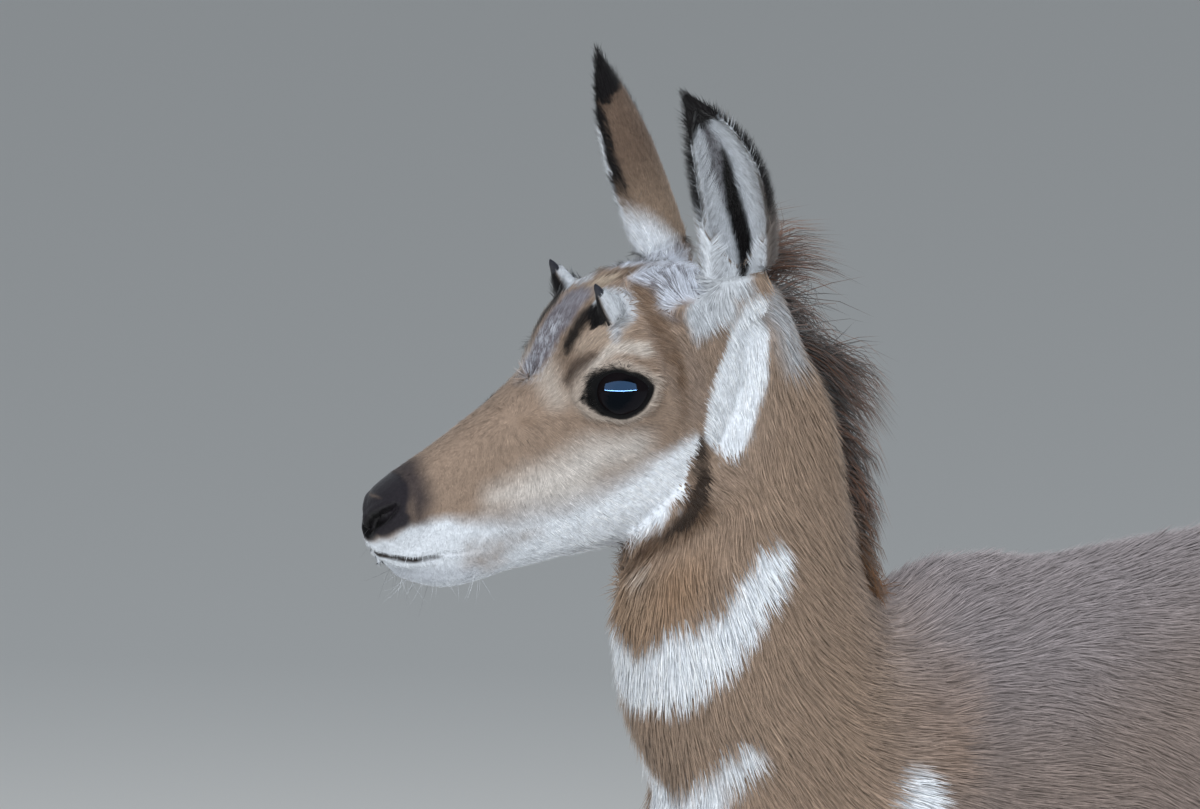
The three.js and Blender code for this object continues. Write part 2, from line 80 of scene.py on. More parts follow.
room = bpy.data.worlds.new("room")
room.use_nodes = True
room.node_tree.nodes["Background"].inputs["Color"].default_value = (0.86, 0.93, 1.0, 1)
room.node_tree.nodes["Background"].inputs["Strength"].default_value = 0.33
bpy.context.scene.world = room
for name, place, size, height, watts, tint in [
    ("front panel", (-2.9, -2.3, 2.3), 3.6, 1.5, 118, (0.92, 0.96, 1.0)),
    ("sky panel", (0.3, -0.5, 3.4), 2.8, 2.8, 76, (0.88, 0.94, 1.0)),
    ("left panel", (-3.9, -0.4, 1.9), 2.4, 2.4, 30, (1.0, 0.98, 0.95)),
    ("right panel", (-0.6, -4.0, 1.6), 2.4, 2.4, 38, (0.96, 0.98, 1.0)),
    ("low fill", (2.6, -3.2, 1.5), 2.4, 1.6, 20, (1.0, 0.98, 0.95)),
    ("back panel", (2.8, 2.6, 2.4), 2.6, 1.6, 36, (1.0, 0.98, 0.96)),
]:
    light = bpy.data.objects.new(name, bpy.data.lights.new(name, "AREA"))
    light.data.shape = "RECTANGLE"
    light.data.size = size
    light.data.size_y = height
    light.data.energy = watts
    light.data.color = tint
    light.location = place
    light.visible_glossy = False
    light.rotation_euler = (Vector(place) - Vector((-0.2, 0, 0.65))).to_track_quat("Z", "Y").to_euler()
    bpy.context.scene.collection.objects.link(light)

# A wide window and its bright sill are seen in the eyes alone.
eyes_only = bpy.data.collections.new("eyes only")
for name, low, height, watts in [("window", 1.04, 1.18, 520), ("window sill", 0.39, 0.06, 900)]:
    light = bpy.data.objects.new(name, bpy.data.lights.new(name, "AREA"))
    light.data.shape = "RECTANGLE"
    light.data.size, light.data.size_y = 6, height
    light.data.energy = watts
    light.data.color = (0.5, 0.7, 1.0)
    light.location = (-1.76, -1.65, low)
    light.rotation_euler = (Vector((-1.76, -1.65, 0.77)) - Vector((-0.29, -0.05, 0.77))).to_track_quat("Z", "Y").to_euler()
    light.visible_camera = light.visible_diffuse = False
    light.light_linking.receiver_collection = eyes_only
    bpy.context.scene.collection.objects.link(light)

# The hide. One skin runs over the whole animal, from the nose to the tail and the hoofs, and
# the eyes, horn buds and hoofs sit in it. It is grown over the parts of the body beneath it.
head_axes = np.array(Euler((math.radians(-8), math.radians(33.6), math.radians(-20)), "XYZ").to_matrix())
poll = np.array([130.0, -8.0, 820.0])


def body_mm(places):
    """Millimetres ahead of the withers, to the animal's left, and above the ground."""
    return np.stack([-(places[:, 0] - withers.x), -places[:, 1], places[:, 2]], axis=1) * 1000.0


def body_turn(directions):
    return directions * np.array([-1.0, -1.0, 1.0])


def from_body(millimetres):
    return millimetres * np.array([-0.001, -0.001, 0.001]) + np.array([withers.x, 0, 0])


def head_mm(places):
    """Millimetres from the poll towards the nose, to the animal's left, and up from the face."""
    return (body_mm(places) - poll) @ head_axes


def from_head(millimetres):
    return from_body(np.asarray(millimetres, float) @ head_axes.T + poll)


def both_sides(places):
    """The same places with the right side folded over onto the left."""
    return np.c_[places[:, 0], np.abs(places[:, 1]), places[:, 2]]


def unit(directions):
    return directions / np.maximum(np.linalg.norm(directions, axis=-1, keepdims=True), 1e-9)


def ease(low, high, values):
    share = np.clip((values - low) / (high - low), 0.0, 1.0)
    return share * share * (3 - 2 * share)


def patch(places, spine, soft=4.0):
    """One inside a chain of balls, each x, y, z, radius, and nothing past a soft edge."""
    best = np.full(len(places), 1e9)
    spine = np.asarray(spine, float)
    if len(spine) == 1:
        spine = np.repeat(spine, 2, axis=0)
    for a, b in zip(spine[:-1], spine[1:]):
        run = b[:3] - a[:3]
        length = max(run @ run, 1e-9)
        t = np.clip((places - a[:3]) @ run / length, 0, 1)
        nearest = a[:3] + t[:, None] * run
        away = np.linalg.norm(places - nearest, axis=1) - (a[3] + t * (b[3] - a[3]))
        best = np.minimum(best, away)
    return 1 - ease(-soft / 2, soft / 2, best)


def drift(places, cell, seed):
    """Smooth random values between -1 and 1, three to a place, over cells of that size."""
    table = np.random.default_rng(seed).uniform(-1, 1, (32, 32, 32, 3))
    spot = places / cell
    low = np.floor(spot).astype(int)
    share = spot - low
    share = share * share * (3 - 2 * share)
    total = np.zeros((len(places), 3))
    for dx in (0, 1):
        for dy in (0, 1):
            for dz in (0, 1):
                weight = np.abs(1 - dx - share[:, 0]) * np.abs(1 - dy - share[:, 1])
                weight = weight * np.abs(1 - dz - share[:, 2])
                corner = (low + [dx, dy, dz]) % 32
                total += weight[:, None] * table[corner[:, 0], corner[:, 1], corner[:, 2]]
    return total


crest_rows = np.array(
    [
        # height, middle ahead and sideways, half depth, half width, pinch
        [640, 101, 0, 77, 48, 0.29],
        [650, 104, 0, 77, 47, 0.3],
        [681, 110, -1, 74, 42, 0.24],
        [710, 103, -3, 60, 37, 0.12],
        [756, 97, -5, 42, 34, 0.05],
        [795, 109, -7, 33, 29, 0.05],
        [812, 115, -8, 25, 22, 0],
        [822, 118, -8, 15, 13, 0],
    ]
)


def press_in_mane(places):
    """The mane's locks pressed flat against the core of the neck, which they grow from."""
    body = body_mm(places)
    rows = [np.interp(body[:, 2], crest_rows[:, 0], column) for column in crest_rows.T[1:]]
    middle, aside, deep, half, pinch = rows
    inset = 9 * ease(640, 690, body[:, 2]) * (1 - ease(795, 820, body[:, 2]))
    ahead, out = body[:, 0] - middle, body[:, 1] - aside
    rise = deep - inset - 1.0
    high = np.clip(-ahead / rise, 0, 1)
    reach = np.sqrt((ahead / rise) ** 2 + (out / (half * (1 - pinch * high))) ** 2)
    lock = (ahead < 0) & (body[:, 2] > 655) & (np.abs(out) < 26) & (reach > 1)
    body[lock, 0] = (middle + ahead / reach)[lock]
    body[lock, 1] = (aside + out / reach)[lock]
    return from_body(body)


def positions(mesh):
    flat = np.empty(len(mesh.vertices) * 3)
    mesh.vertices.foreach_get("co", flat)
    return flat.reshape(-1, 3)


def normals(mesh):
    flat = np.empty(len(mesh.vertices) * 3)
    mesh.vertices.foreach_get("normal", flat)
    return flat.reshape(-1, 3)


def place_at(mesh, places):
    mesh.vertices.foreach_set("co", np.asarray(places).ravel())
    mesh.update()


def gather(names, name):
    """One mesh from merged copies of parts of the body."""
    whole = bmesh.new()
    for part in names:
        whole.from_mesh(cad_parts[part].data)
    bmesh.ops.remove_doubles(whole, verts=whole.verts, dist=1e-5)
    mesh = bpy.data.meshes.new(name)
    whole.to_mesh(mesh)
    whole.free()
    return mesh


def together(meshes, name):
    whole = bmesh.new()
    for mesh in meshes:
        whole.from_mesh(mesh)
    joined = bpy.data.meshes.new(name)
    whole.to_mesh(joined)
    whole.free()
    return joined


def settle(thing, name):
    """The mesh of an object with its modifiers worked in."""
    view = bpy.context.evaluated_depsgraph_get()
    mesh = bpy.data.meshes.new_from_object(thing.evaluated_get(view))
    thing.modifiers.clear()
    thing.data = mesh
    mesh.name = name
    return mesh


def grow_skin(mesh, name, grain):
    thing = bpy.data.objects.new(name, mesh)
    bpy.context.scene.collection.objects.link(thing)
    remesh = thing.modifiers.new("grain", "REMESH")
    remesh.mode = "VOXEL"
    remesh.voxel_size = grain
    settle(thing, name)
    return thing


def relax(mesh, times, amount):
    """Smooths without shrinking: one step in, one a little longer step out."""
    edges = np.empty(len(mesh.edges) * 2, dtype=np.int64)
    mesh.edges.foreach_get("vertices", edges)
    edges = edges.reshape(-1, 2)
    places = positions(mesh)
    count = np.bincount(edges.ravel(), minlength=len(places))[:, None]
    for step in range(2 * times):
        total = np.stack(
            [
                np.bincount(edges[:, 0], places[edges[:, 1], k], len(places))
                + np.bincount(edges[:, 1], places[edges[:, 0], k], len(places))
                for k in range(3)
            ],
            axis=1,
        )
        pull = 0.5 if step % 2 == 0 else -0.53
        places = places + (total / count - places) * pull * amount[:, None]
    place_at(mesh, places)


def combine(thing, other, operation):
    """Joins another object to this one, or cuts it away, and drops the other."""
    step = thing.modifiers.new("combine", "BOOLEAN")
    step.operation = operation
    step.solver = "MANIFOLD"
    step.object = other
    settle(thing, thing.name)
    bpy.data.objects.remove(other)


trunk_parts = ["torso", "leg_fore_left", "leg_fore_right", "leg_hind_left", "leg_hind_right"]
face_parts = ["head", "ear_left", "ear_right"]
under_neck = gather(["neck"], "under neck")
place_at(under_neck, press_in_mane(positions(under_neck)))
under_head = gather(["head"], "under head")
place_at(under_head, positions(under_head) - normals(under_head) * 0.004)
under_all = together([gather(trunk_parts, "trunk"), under_neck, under_head], "under all")
skin = grow_skin(under_all, "skin", 0.0054)
relax(skin.data, 10, np.ones(len(skin.data.vertices)))
tail_balls = []
for x, z, half, deep in [
    (-412, 650, 12, 11), (-424, 642, 13, 10.5), (-429, 629, 14.5, 10), (-431, 615, 15.5, 9.5), (-432, 601, 15, 8.5),
    (-432, 588, 12.5, 7.5), (-432, 578, 9, 6),
]:
    ball = bmesh.new()
    bmesh.ops.create_uvsphere(ball, u_segments=24, v_segments=16, radius=1)
    tail_balls.append(bpy.data.meshes.new("ball"))
    ball.to_mesh(tail_balls[-1])
    ball.free()
    place_at(tail_balls[-1], from_body(positions(tail_balls[-1]) * [deep, half, 12] + [x, 0, z]))
brush = grow_skin(together(tail_balls, "under tail"), "brush", 0.003)
relax(brush.data, 10, np.ones(len(brush.data.vertices)))
combine(skin, brush, "UNION")

# The eyes lie behind lids that open as a slanting almond. Its shape is told round the way that
# the eye looks, from the front corner upwards: degrees, and how far off the lids' edge lies.
eye_middle, eye_reach = np.array([68.0, 24.0, -8.0]), 20.6
eye_axes = np.array([[0.830, -0.418, 0.369], [-0.421, -0.037, 0.905], [0.365, 0.907, 0.207]])
lid_turn = [2.5, 15, 31.7, 70.6, 121, 157, 177, 205, 246, 302, 335, 350]
lid_edge = [12.1, 12.1, 12.4, 11.4, 10.2, 12.6, 14.8, 12.5, 10.6, 10.5, 11.4, 11.9]
lid_rim = [14.9, 14.3, 13.9, 12.9, 11.6, 14.0, 16.2, 14.0, 12.2, 12.1, 13.0, 14.1]


def round_eye(head):
    """How far out of the look of an eye, and its angle there, from the front corner up."""
    toward = unit(both_sides(head) - eye_middle) @ eye_axes.T
    off = eye_reach * np.hypot(toward[:, 0], toward[:, 1])
    off[toward[:, 2] < 0] = 99.0
    near = np.linalg.norm(both_sides(head) - eye_middle, axis=1) < 32
    off[~near] = 99.0
    return off, np.degrees(np.arctan2(toward[:, 1], toward[:, 0])) % 360


def past_rim(head, sizes):
    """Millimetres outside a line round the eye, less than nothing inside it."""
    off, turn = round_eye(head)
    return off - np.interp(turn, lid_turn, sizes, period=360)


def eye_cutter(sign):
    """A flaring plug, as the opening between the lids: its walls round off towards the outside."""
    turns = np.arange(0, 360, 5.0)
    edge = np.interp(turns, lid_turn, lid_edge, period=360)
    for _ in range(2):
        edge = (np.roll(edge, 1) + 2 * edge + np.roll(edge, -1)) / 4
    plug = bmesh.new()
    rings = []
    angle = np.radians(turns)
    flare = 1 - 0.8 * ease(0.3, 0.9, np.cos(angle))
    for far, wider in [(8, 0.97), (18.3, 1.0), (19.0, 1.03), (19.7, 1.1), (20.6, 1.22), (22.5, 1.34), (30, 1.4)]:
        out = np.minimum(edge * (1 + (wider - 1) * flare) / eye_reach, 0.97)
        local = np.stack([out * np.cos(angle), out * np.sin(angle), np.sqrt(1 - out**2)], axis=1)
        ring = (eye_middle + far * local @ eye_axes) * [1, sign, 1]
        rings.append([plug.verts.new(place) for place in from_head(ring)])
    for low, high in zip(rings[:-1], rings[1:]):
        for k in range(len(turns)):
            plug.faces.new((low[k - 1], low[k], high[k], high[k - 1]))
    plug.faces.new(rings[0])
    plug.faces.new(rings[-1])
    bmesh.ops.recalc_face_normals(plug, faces=plug.faces)
    thing = bpy.data.objects.new("plug", bpy.data.meshes.new("plug"))
    plug.to_mesh(thing.data)
    plug.free()
    bpy.context.scene.collection.objects.link(thing)
    return thing


def ball_mesh(middle, radius):
    ball = bmesh.new()
    bmesh.ops.create_uvsphere(ball, u_segments=32, v_segments=20, radius=1)
    mesh = bpy.data.meshes.new("ball")
    ball.to_mesh(mesh)
    ball.free()
    place_at(mesh, from_head(positions(mesh) * radius + middle))
    return mesh


# Under each horn bud the brow rises to a short cone, which the hair climbs and hides.
bud_foot, bud_top = np.array([55.0, 25.0, 22.0]), 43.0
face_meshes = [gather(face_parts, "under face")]
for side, sign in (("left", 1), ("right", -1)):
    face_meshes.append(ball_mesh(eye_middle * [1, sign, 1], 20.5))
    cone = gather([f"horn_bud_{side}"], "cone")
    local = head_mm(positions(cone)) - bud_foot * [1, sign, 1]
    place_at(cone, from_head(local * [1.02, 1.02, 0.82] + bud_foot * [1, sign, 1] - [0, 0, 1]))
    face_meshes.append(cone)
face = grow_skin(together(face_meshes, "under face"), "face", 0.00145)
relax(face.data, 3, np.ones(len(face.data.vertices)))
cheek = both_sides(head_mm(positions(face.data)))
socket = (past_rim(cheek, lid_rim) > -3) & (np.linalg.norm(cheek - eye_middle, axis=1) < 33)
relax(face.data, 10, socket.astype(float))
combine(skin, face, "UNION")

# Where the ears are. Each follows a bent line from its base and opens away from it, so a place is
# told by its share of the way up, how far forward it lies across the ear, and how deep in it.
ear_lines = {
    1: ((3, 31, -4), (-31, 41, 44), (-23, 44, 102), (0.35, 0.9, 0.2)),
    -1: ((8.5, -31, 0), (-5.5, -42, 57), (-20, -44, 104), (0.6, -0.8, 0.1)),
}
ear_places = [0, 0.15, 0.35, 0.55, 0.75, 0.9, 1]
ear_halves = [15.5, 16.5, 17.3, 16.5, 12, 6, 2]


def on_ears(head):
    """Side (0 off the ears), share up, forward (1 front edge, -1 rear), depth, and directions."""
    side, share, forward, deep = (np.zeros(len(head)) for _ in range(4))
    upwards, opening, frontward = (np.zeros((len(head), 3)) for _ in range(3))
    for sign, points in ear_lines.items():
        base, bend, tip, opens = np.array(points, float)
        t = np.linspace(0, 1, 41)[:, None]
        line = (1 - t) ** 2 * base + 2 * t * (1 - t) * bend + t**2 * tip
        along = unit(2 * (1 - t) * (bend - base) + 2 * t * (tip - bend))
        front = unit(opens - (along @ opens)[:, None] * along)
        beside = -sign * np.cross(along, front)
        away = np.linalg.norm(head[:, None, :] - line[None], axis=2)
        k = away.argmin(axis=1)
        half = np.interp(k / 40, ear_places, ear_halves)
        mine = (away.min(axis=1) < half + 6) & (head[:, 1] * sign > 18) & (k > 1)
        mine &= (head - base) @ unit(tip - base) > 12
        off = head - line[k]
        side[mine], share[mine] = sign, k[mine] / 40
        forward[mine] = ((off * beside[k]).sum(axis=1) / half)[mine]
        deep[mine] = (off * front[k]).sum(axis=1)[mine]
        upwards[mine], opening[mine], frontward[mine] = along[k][mine], front[k][mine], beside[k][mine]
    return side, share, forward, deep, upwards, opening, frontward


# How long the coat is, in millimetres: a velvet on the muzzle, longer on the neck and body,
# longest on the rump and tail. The skin lies inside the outline by about a third of it.
def coat_length(places):
    body, head = body_mm(places), head_mm(places)
    cheek = both_sides(head)
    length = 5 + 10 * ease(240, 450, body[:, 2]) + 7 * ease(46, 30, body[:, 2])
    length += 7 * patch(body, [(-405, 0, 670, 60), (-410, 0, 580, 60)], 60)
    on_head = patch(cheek, [(8, 0, -12, 44), (60, 0, -30, 66), (120, 0, -30, 46), (205, 0, -15, 34)], 14)
    short = np.interp(cheek[:, 0], [0, 40, 70, 120, 160, 205], [7, 6.2, 5.0, 4.6, 3.4, 2.4])
    short += 3.5 * patch(cheek, [(50, 30, -66, 14), (75, 18, -84, 16), (100, 12, -80, 12), (130, 8, -70, 8)], 14)
    short += 2.5 * patch(cheek, [(52, 25, 30, 12)], 6) + 4 * patch(cheek, [(97, 0, 14, 4)], 5)
    short += 2 * patch(cheek, [(20, 28, 2, 16)], 16)
    length = length + (short - length) * on_head
    from_bud = cheek - bud_foot
    climbs = (np.hypot(from_bud[:, 0], from_bud[:, 1]) < 11) & (from_bud[:, 2] > 2)
    length[climbs] = np.interp(from_bud[climbs, 2], [2, 9, 15], [7, 5.4, 1.8])
    side, share, forward = on_ears(head)[:3]
    ear = side != 0
    length[ear] = (4.6 + 2.4 * ease(0.8, 1.0, np.abs(forward)) + 2.0 * ease(0.75, 0.95, share))[ear]
    return length, on_head


places, facing = positions(skin.data), normals(skin.data)
length, on_head = coat_length(places)
depth = np.clip(0.3 * length - 0.5, 0.3, 5) * 0.001
depth[on_ears(head_mm(places))[0] != 0] = 0.0006
brush = patch(body_mm(places), [(-428, 0, 648, 20), (-432, 0, 610, 22), (-432, 0, 570, 14)], 12)
depth = depth + (0.0008 - depth) * brush
depth[past_rim(head_mm(places), lid_rim) < 3] = 0.0003
place_at(skin.data, places - facing * depth[:, None])
for sign in (1, -1):
    combine(skin, eye_cutter(sign), "DIFFERENCE")

# The soft forms of the face, pressed into the skin or raised from it: nostrils and their wings,
# the lips, the folds round the eyes, and over the shoulder the edge of the blade. The skin is
# made finer there first. Each is a chain of places with a soft edge and a height.
finer = bmesh.new()
finer.from_mesh(skin.data)
cheek = both_sides(head_mm(np.array([vertex.co for vertex in finer.verts])))
fine = (cheek[:, 0] > 166) & (cheek[:, 2] > -36)
fine |= (past_rim(cheek, lid_rim) < 4) & (cheek[:, 1] > 20)
edges = [
    edge
    for edge in finer.edges
    if fine[edge.verts[0].index] and fine[edge.verts[1].index] and edge.calc_length() > 0.001
]
bmesh.ops.subdivide_edges(finer, edges=edges, cuts=1, use_grid_fill=True)
bmesh.ops.triangulate(finer, faces=[face for face in finer.faces if len(face.verts) > 4])
finer.to_mesh(skin.data)
finer.free()
skin.data.update()
face_forms = [
    ([(202, 2.5, 0, 2.0), (198.5, 5, 3, 2.8), (194, 9.5, 4.5, 2.8), (190, 12.5, 5.2, 2.2), (186.5, 14, 6.2, 1.4)], 3.0, -4.6),
    ([(197, 3, 8, 1.0), (192, 8, 9.5, 1.6), (187, 13, 9.5, 1.4)], 4, 0.8),
    ([(182, 15, 4, 2.5), (186, 17, -1, 3.5), (193, 15, -4, 3)], 5, 0.9),
    ([(203, 0, 3, 0.3), (204, 0, -4, 0.4), (204, 0, -9, 0.5)], 1.8, -0.9),
    ([(204, 1, -10, 0.5), (202, 8, -12.5, 0.6), (198.5, 12, -15.5, 0.9), (192, 14, -20.5, 0.9), (185, 15, -24.5, 0.8)], 2.2, -2.6),
    ([(185, 15, -24.5, 0.5), (179, 16.5, -26, 0.4), (171, 17, -31.5, 0.3)], 2.2, -1.3),
    ([(171, 17, -31.5, 0.8), (164, 18, -34, 1.2), (160, 18, -30, 1.0)], 4, -0.7),
    ([(202, 3, -10, 1.5), (197, 11, -15, 2), (188, 16, -20, 2)], 5, 0.5),
    ([(203, 0, -20, 4), (199, 5, -25, 4), (191, 12, -30, 4)], 6, -1.1),
    ([(60, 28, -62, 1), (70, 27, -68, 1), (83, 23, -73, 1.5), (94, 18, -76, 1.5), (104, 12, -77, 1)], 9, 2.6),
    ([(88, 33, -13, 0.4), (84, 35, -18, 0.4)], 1.8, -0.6),
    ([(84, 35, -18, 0.3), (79, 34, -25, 0.3)], 1.8, -0.5),
    ([(86, 30, 12, 1), (72, 35, 15.5, 1), (56, 39, 6, 1)], 4, -0.7),
    ([(120, 22, -14, 8), (142, 17, -18, 6)], 18, -0.9),
]
body_forms = [
    ([(-30, 7, 678, 4), (-52, 17, 673, 4), (-75, 27, 664, 4), (-90, 37, 654, 4), (-108, 46, 645, 4)], 22, 2.6),
    ([(-70, 8, 680, 5), (-110, 26, 670, 5)], 26, -2.4),
    ([(20, 40, 650, 6), (45, 52, 615, 8), (62, 62, 570, 10)], 30, -1.6),
]
places, facing = positions(skin.data), normals(skin.data)
cheek, flank = both_sides(head_mm(places)), both_sides(body_mm(places))
height = sum(patch(cheek, spine, soft) * rise for spine, soft, rise in face_forms)
height += sum(patch(flank, spine, soft) * rise for spine, soft, rise in body_forms)
place_at(skin.data, places + facing * height[:, None] * 0.001)

# The markings: dark brow and mane, white cheeks, throat bands, belly and rump on a tan coat.
# The skin and every hair over it take their colour from the same places on the body.
def tone(red, green, blue):
    values = np.array([red, green, blue], float) / 255
    return np.where(values <= 0.04045, values / 12.92, ((values + 0.055) / 1.055) ** 2.4)


tan, fawn, pale = tone(146, 125, 108), tone(140, 121, 106), tone(188, 179, 170)
white, grey, saddle = tone(230, 235, 242), tone(174, 178, 188), tone(136, 128, 129)
brown, dark, black = tone(100, 80, 64), tone(50, 41, 35), tone(17, 15, 16)
mauve, gold, nose_grey = tone(112, 106, 112), tone(150, 116, 84), tone(36, 33, 37)
jaw_line = np.array(
    # place along the head, where the white starts softly, where it is full
    [[50, -44, -50], [61, -43, -50], [71, -41, -50], [84, -40, -52], [101, -36, -52], [112, -33, -50],
     [124, -29, -48], [134, -24, -43], [146, -22, -38], [155, -17, -30], [163, -13, -24], [170, -8, -14],
     [187, -2, -6], [204, -3, -6]]
)


def coat_colour(places, facing):
    body, head = body_mm(places), head_mm(places)
    fine, broad, tiny = drift(places, 0.0028, 5), drift(places, 0.02, 6), drift(places, 0.0013, 8)
    wander = drift(places, 0.005, 7) * 1.5 + broad * 2.0
    flank, cheek = both_sides(body + wander), both_sides(head + wander * 0.45)
    out = body_turn(facing)
    colour = np.tile(tan, (len(places), 1))

    def lay(paint, share):
        colour[:] = colour + (paint - colour) * np.clip(share, 0, 1)[:, None]

    # Body: a greyer saddle, pale lower sides, white belly, rump and inner legs
    x, z = flank[:, 0], flank[:, 2]
    lay(tone(134, 120, 113), ease(95, 10, x) * ease(735, 690, z))
    top = np.interp(x, [-300, -110, -40], [635, 600, 570])
    lay(saddle, ease(0, 75, z - top) * ease(65, -5, x) * 0.95)
    lay(gold, patch(flank, [(39, 52, 617, 8), (20, 48, 630, 10), (35, 58, 595, 8)], 34) * 0.3)
    edge = np.interp(x, [-420, -345, -300, -265, -200, -60, 10, 40], [380, 385, 440, 500, 520, 530, 545, 420])
    lay(white, ease(10, -12, z - edge) * ease(20, -10, x) * ease(-390, -330, x))
    spike = [(49, 61, 606, 0.5), (56, 63, 592, 7), (58, 66, 568, 12), (40, 66, 538, 22), (-10, 74, 515, 26)]
    lay(white, patch(flank, spike, 6))
    lay(white, patch(flank, [(-418, 10, 680, 26), (-426, 24, 640, 36), (-420, 20, 580, 38), (-395, 20, 530, 20)], 8))
    inner = ease(0.1, 0.6, -np.sign(body[:, 1]) * out[:, 1])
    lay(white, inner * ease(470, 440, z) * ease(60, 120, z) * 0.9)
    lay(pale, ease(210, 120, z) * 0.35)

    # Neck: two white bands across the throat, and the crest darker than the sides
    crest = [(54, 14, 681, 9), (40, 6, 705, 12), (47, 6, 745, 13), (70, 6, 790, 14)]
    lay(brown, patch(flank, crest, 22) * 0.75)
    lay(gold, patch(flank, [(182, 0, 660, 12), (175, 20, 675, 12), (165, 30, 700, 8)], 20) * 0.4)
    band = [(177, 0, 631, 12), (176, 11, 633, 14), (172, 25, 641, 15.5), (165, 35, 648, 13.5), (158, 40, 655, 12.5)]
    band += [(150, 43, 664, 12), (141, 43, 674, 11.5), (129, 40, 686, 10), (123, 39, 691, 7)]
    lay(white, patch(flank, band, 5))
    lay(tone(164, 142, 122), patch(flank, [(184, 3, 705, 10), (186, 4, 668, 10)], 22) * 0.6)
    lay(pale, patch(flank, [(185, 2, 692, 6), (184, 3, 684, 5)], 7) * 0.7)
    low_band = [(168, 0, 560, 22), (160, 16, 572, 14), (153, 32, 588, 10), (145, 41, 596, 8)]
    lay(white, patch(flank, low_band, 6))

    # Head: tan bridge, paler cheeks, white from the lips along the jaw, and brown under it, darkened by painted shade
    # in the crease beneath the jaw
    on_head = coat_length(places)[1]
    lay(fawn, on_head * ease(-96, -86, cheek[:, 2]))
    cream = [(146, 18, -18, 3), (126, 22, -26, 9), (112, 26, -30, 12), (98, 30, -27, 9), (80, 33, -34, 7)]
    lay(tone(200, 193, 187), patch(cheek, cream, 20))
    lay(pale, patch(cheek, [(92, 12, 14, 6), (97, 22, 6, 5)], 12) * 0.6)
    start = np.interp(cheek[:, 0], jaw_line[:, 0], jaw_line[:, 1])
    full = np.interp(cheek[:, 0], jaw_line[:, 0], jaw_line[:, 2])
    share = np.clip((start + 1 - cheek[:, 2]) / (start + 1 - full), 0, 1) ** 1.4
    bright = np.interp(cheek[:, 0], [90, 150], [1.04, 0.84])[:, None]
    low = np.interp(cheek[:, 0], [50, 62, 70, 85, 92, 100, 108], [-50, -61, -69, -74, -76.5, -79, -96])
    share = share * ease(-1, 1, cheek[:, 2] - low)
    lay(white * bright, share * on_head * ease(49, 53, cheek[:, 0] - 0.1 * np.clip(-60 - cheek[:, 2], 0, 30)))
    lay(fawn, patch(cheek, [(167, 17, -30, 2), (158, 17, -37, 3), (147, 16, -42, 3), (136, 17, -45, 2)], 13) * (0.5 + 0.25 * fine[:, 0]))
    lay(fawn, patch(cheek, [(170, 16, -38, 3), (160, 16, -47, 6)], 13) * (0.7 + 0.25 * fine[:, 1]))
    lay(grey * 0.8, patch(cheek, [(198, 4, -26, 6), (186, 8, -34, 7), (172, 8, -42, 6)], 8) * 0.6)
    # Beneath the jaw the brown coat is painted darker as painted shade, darkest in the strip along the crease where
    # the jaw meets the throat.
    under = [(118, 20, -80, 5), (101, 30, -84, 6), (90, 34, -82, 6), (80, 38, -80, 6), (70, 40, -78, 5.5)]
    lay(tone(84, 66, 52), patch(cheek, under, 8) * 0.95)
    lay(brown, patch(cheek, [(132, 4, -77, 2), (118, 8, -80, 5), (104, 10, -84, 7)], 6) * 0.9)
    strip = [(50, 32, -51, 1.2), (54, 30, -60, 2.5), (60, 32, -68, 4), (69, 36, -74, 4), (80, 37, -78, 3.5), (92, 33, -81, 2)]
    jaw_crease_shade = [(64, 31, -68, 1.5), (74, 33, -74.5, 2.5), (84, 31, -79, 3), (92, 28, -82, 3.5), (101, 26, -84, 4)]
    lay(tone(74, 57, 46), patch(cheek, jaw_crease_shade, 3.5))
    lay(dark, patch(cheek, strip, 4))

    # Crown: mottled blue-grey, split by a thin brown line, and white where it swirls by the ear
    lay(tone(196, 201, 212), patch(cheek, [(31, 14, 23, 6), (18, 6, 17, 11), (4, 12, 4, 12), (24, 20, 15, 8), (32, 26, 12, 4)], 8))
    flecks = patch(cheek, [(28, 18, 20, 8), (14, 10, 14, 12), (32, 28, 6, 3)], 8)
    lay(mauve * 0.6, ease(-0.05, 0.35, tiny[:, 1] * 0.7 + fine[:, 1] * 0.6) * flecks * 0.8)
    swirl = [(-2, 33, 2, 8), (8, 29, 6, 9), (12, 29, -3, 10), (22, 27, -4, 8), (27, 29, -6, 5)]
    lay(white * 0.66, patch(cheek, swirl, 6) * (1 - (head[:, 1] < 0) * ease(12, 4, head[:, 0]) * 0.9))
    lay(tone(166, 150, 132), patch(cheek, [(50, 0, 31, 5), (41, 2, 28, 4)], 6) * 0.9)
    lay(brown * 0.8, patch(cheek, [(41, 6, 27, 1.2), (34, 3, 26, 1.8), (27, 2, 23, 1.8), (17, 3, 17, 1.2)], 3) * 0.85)

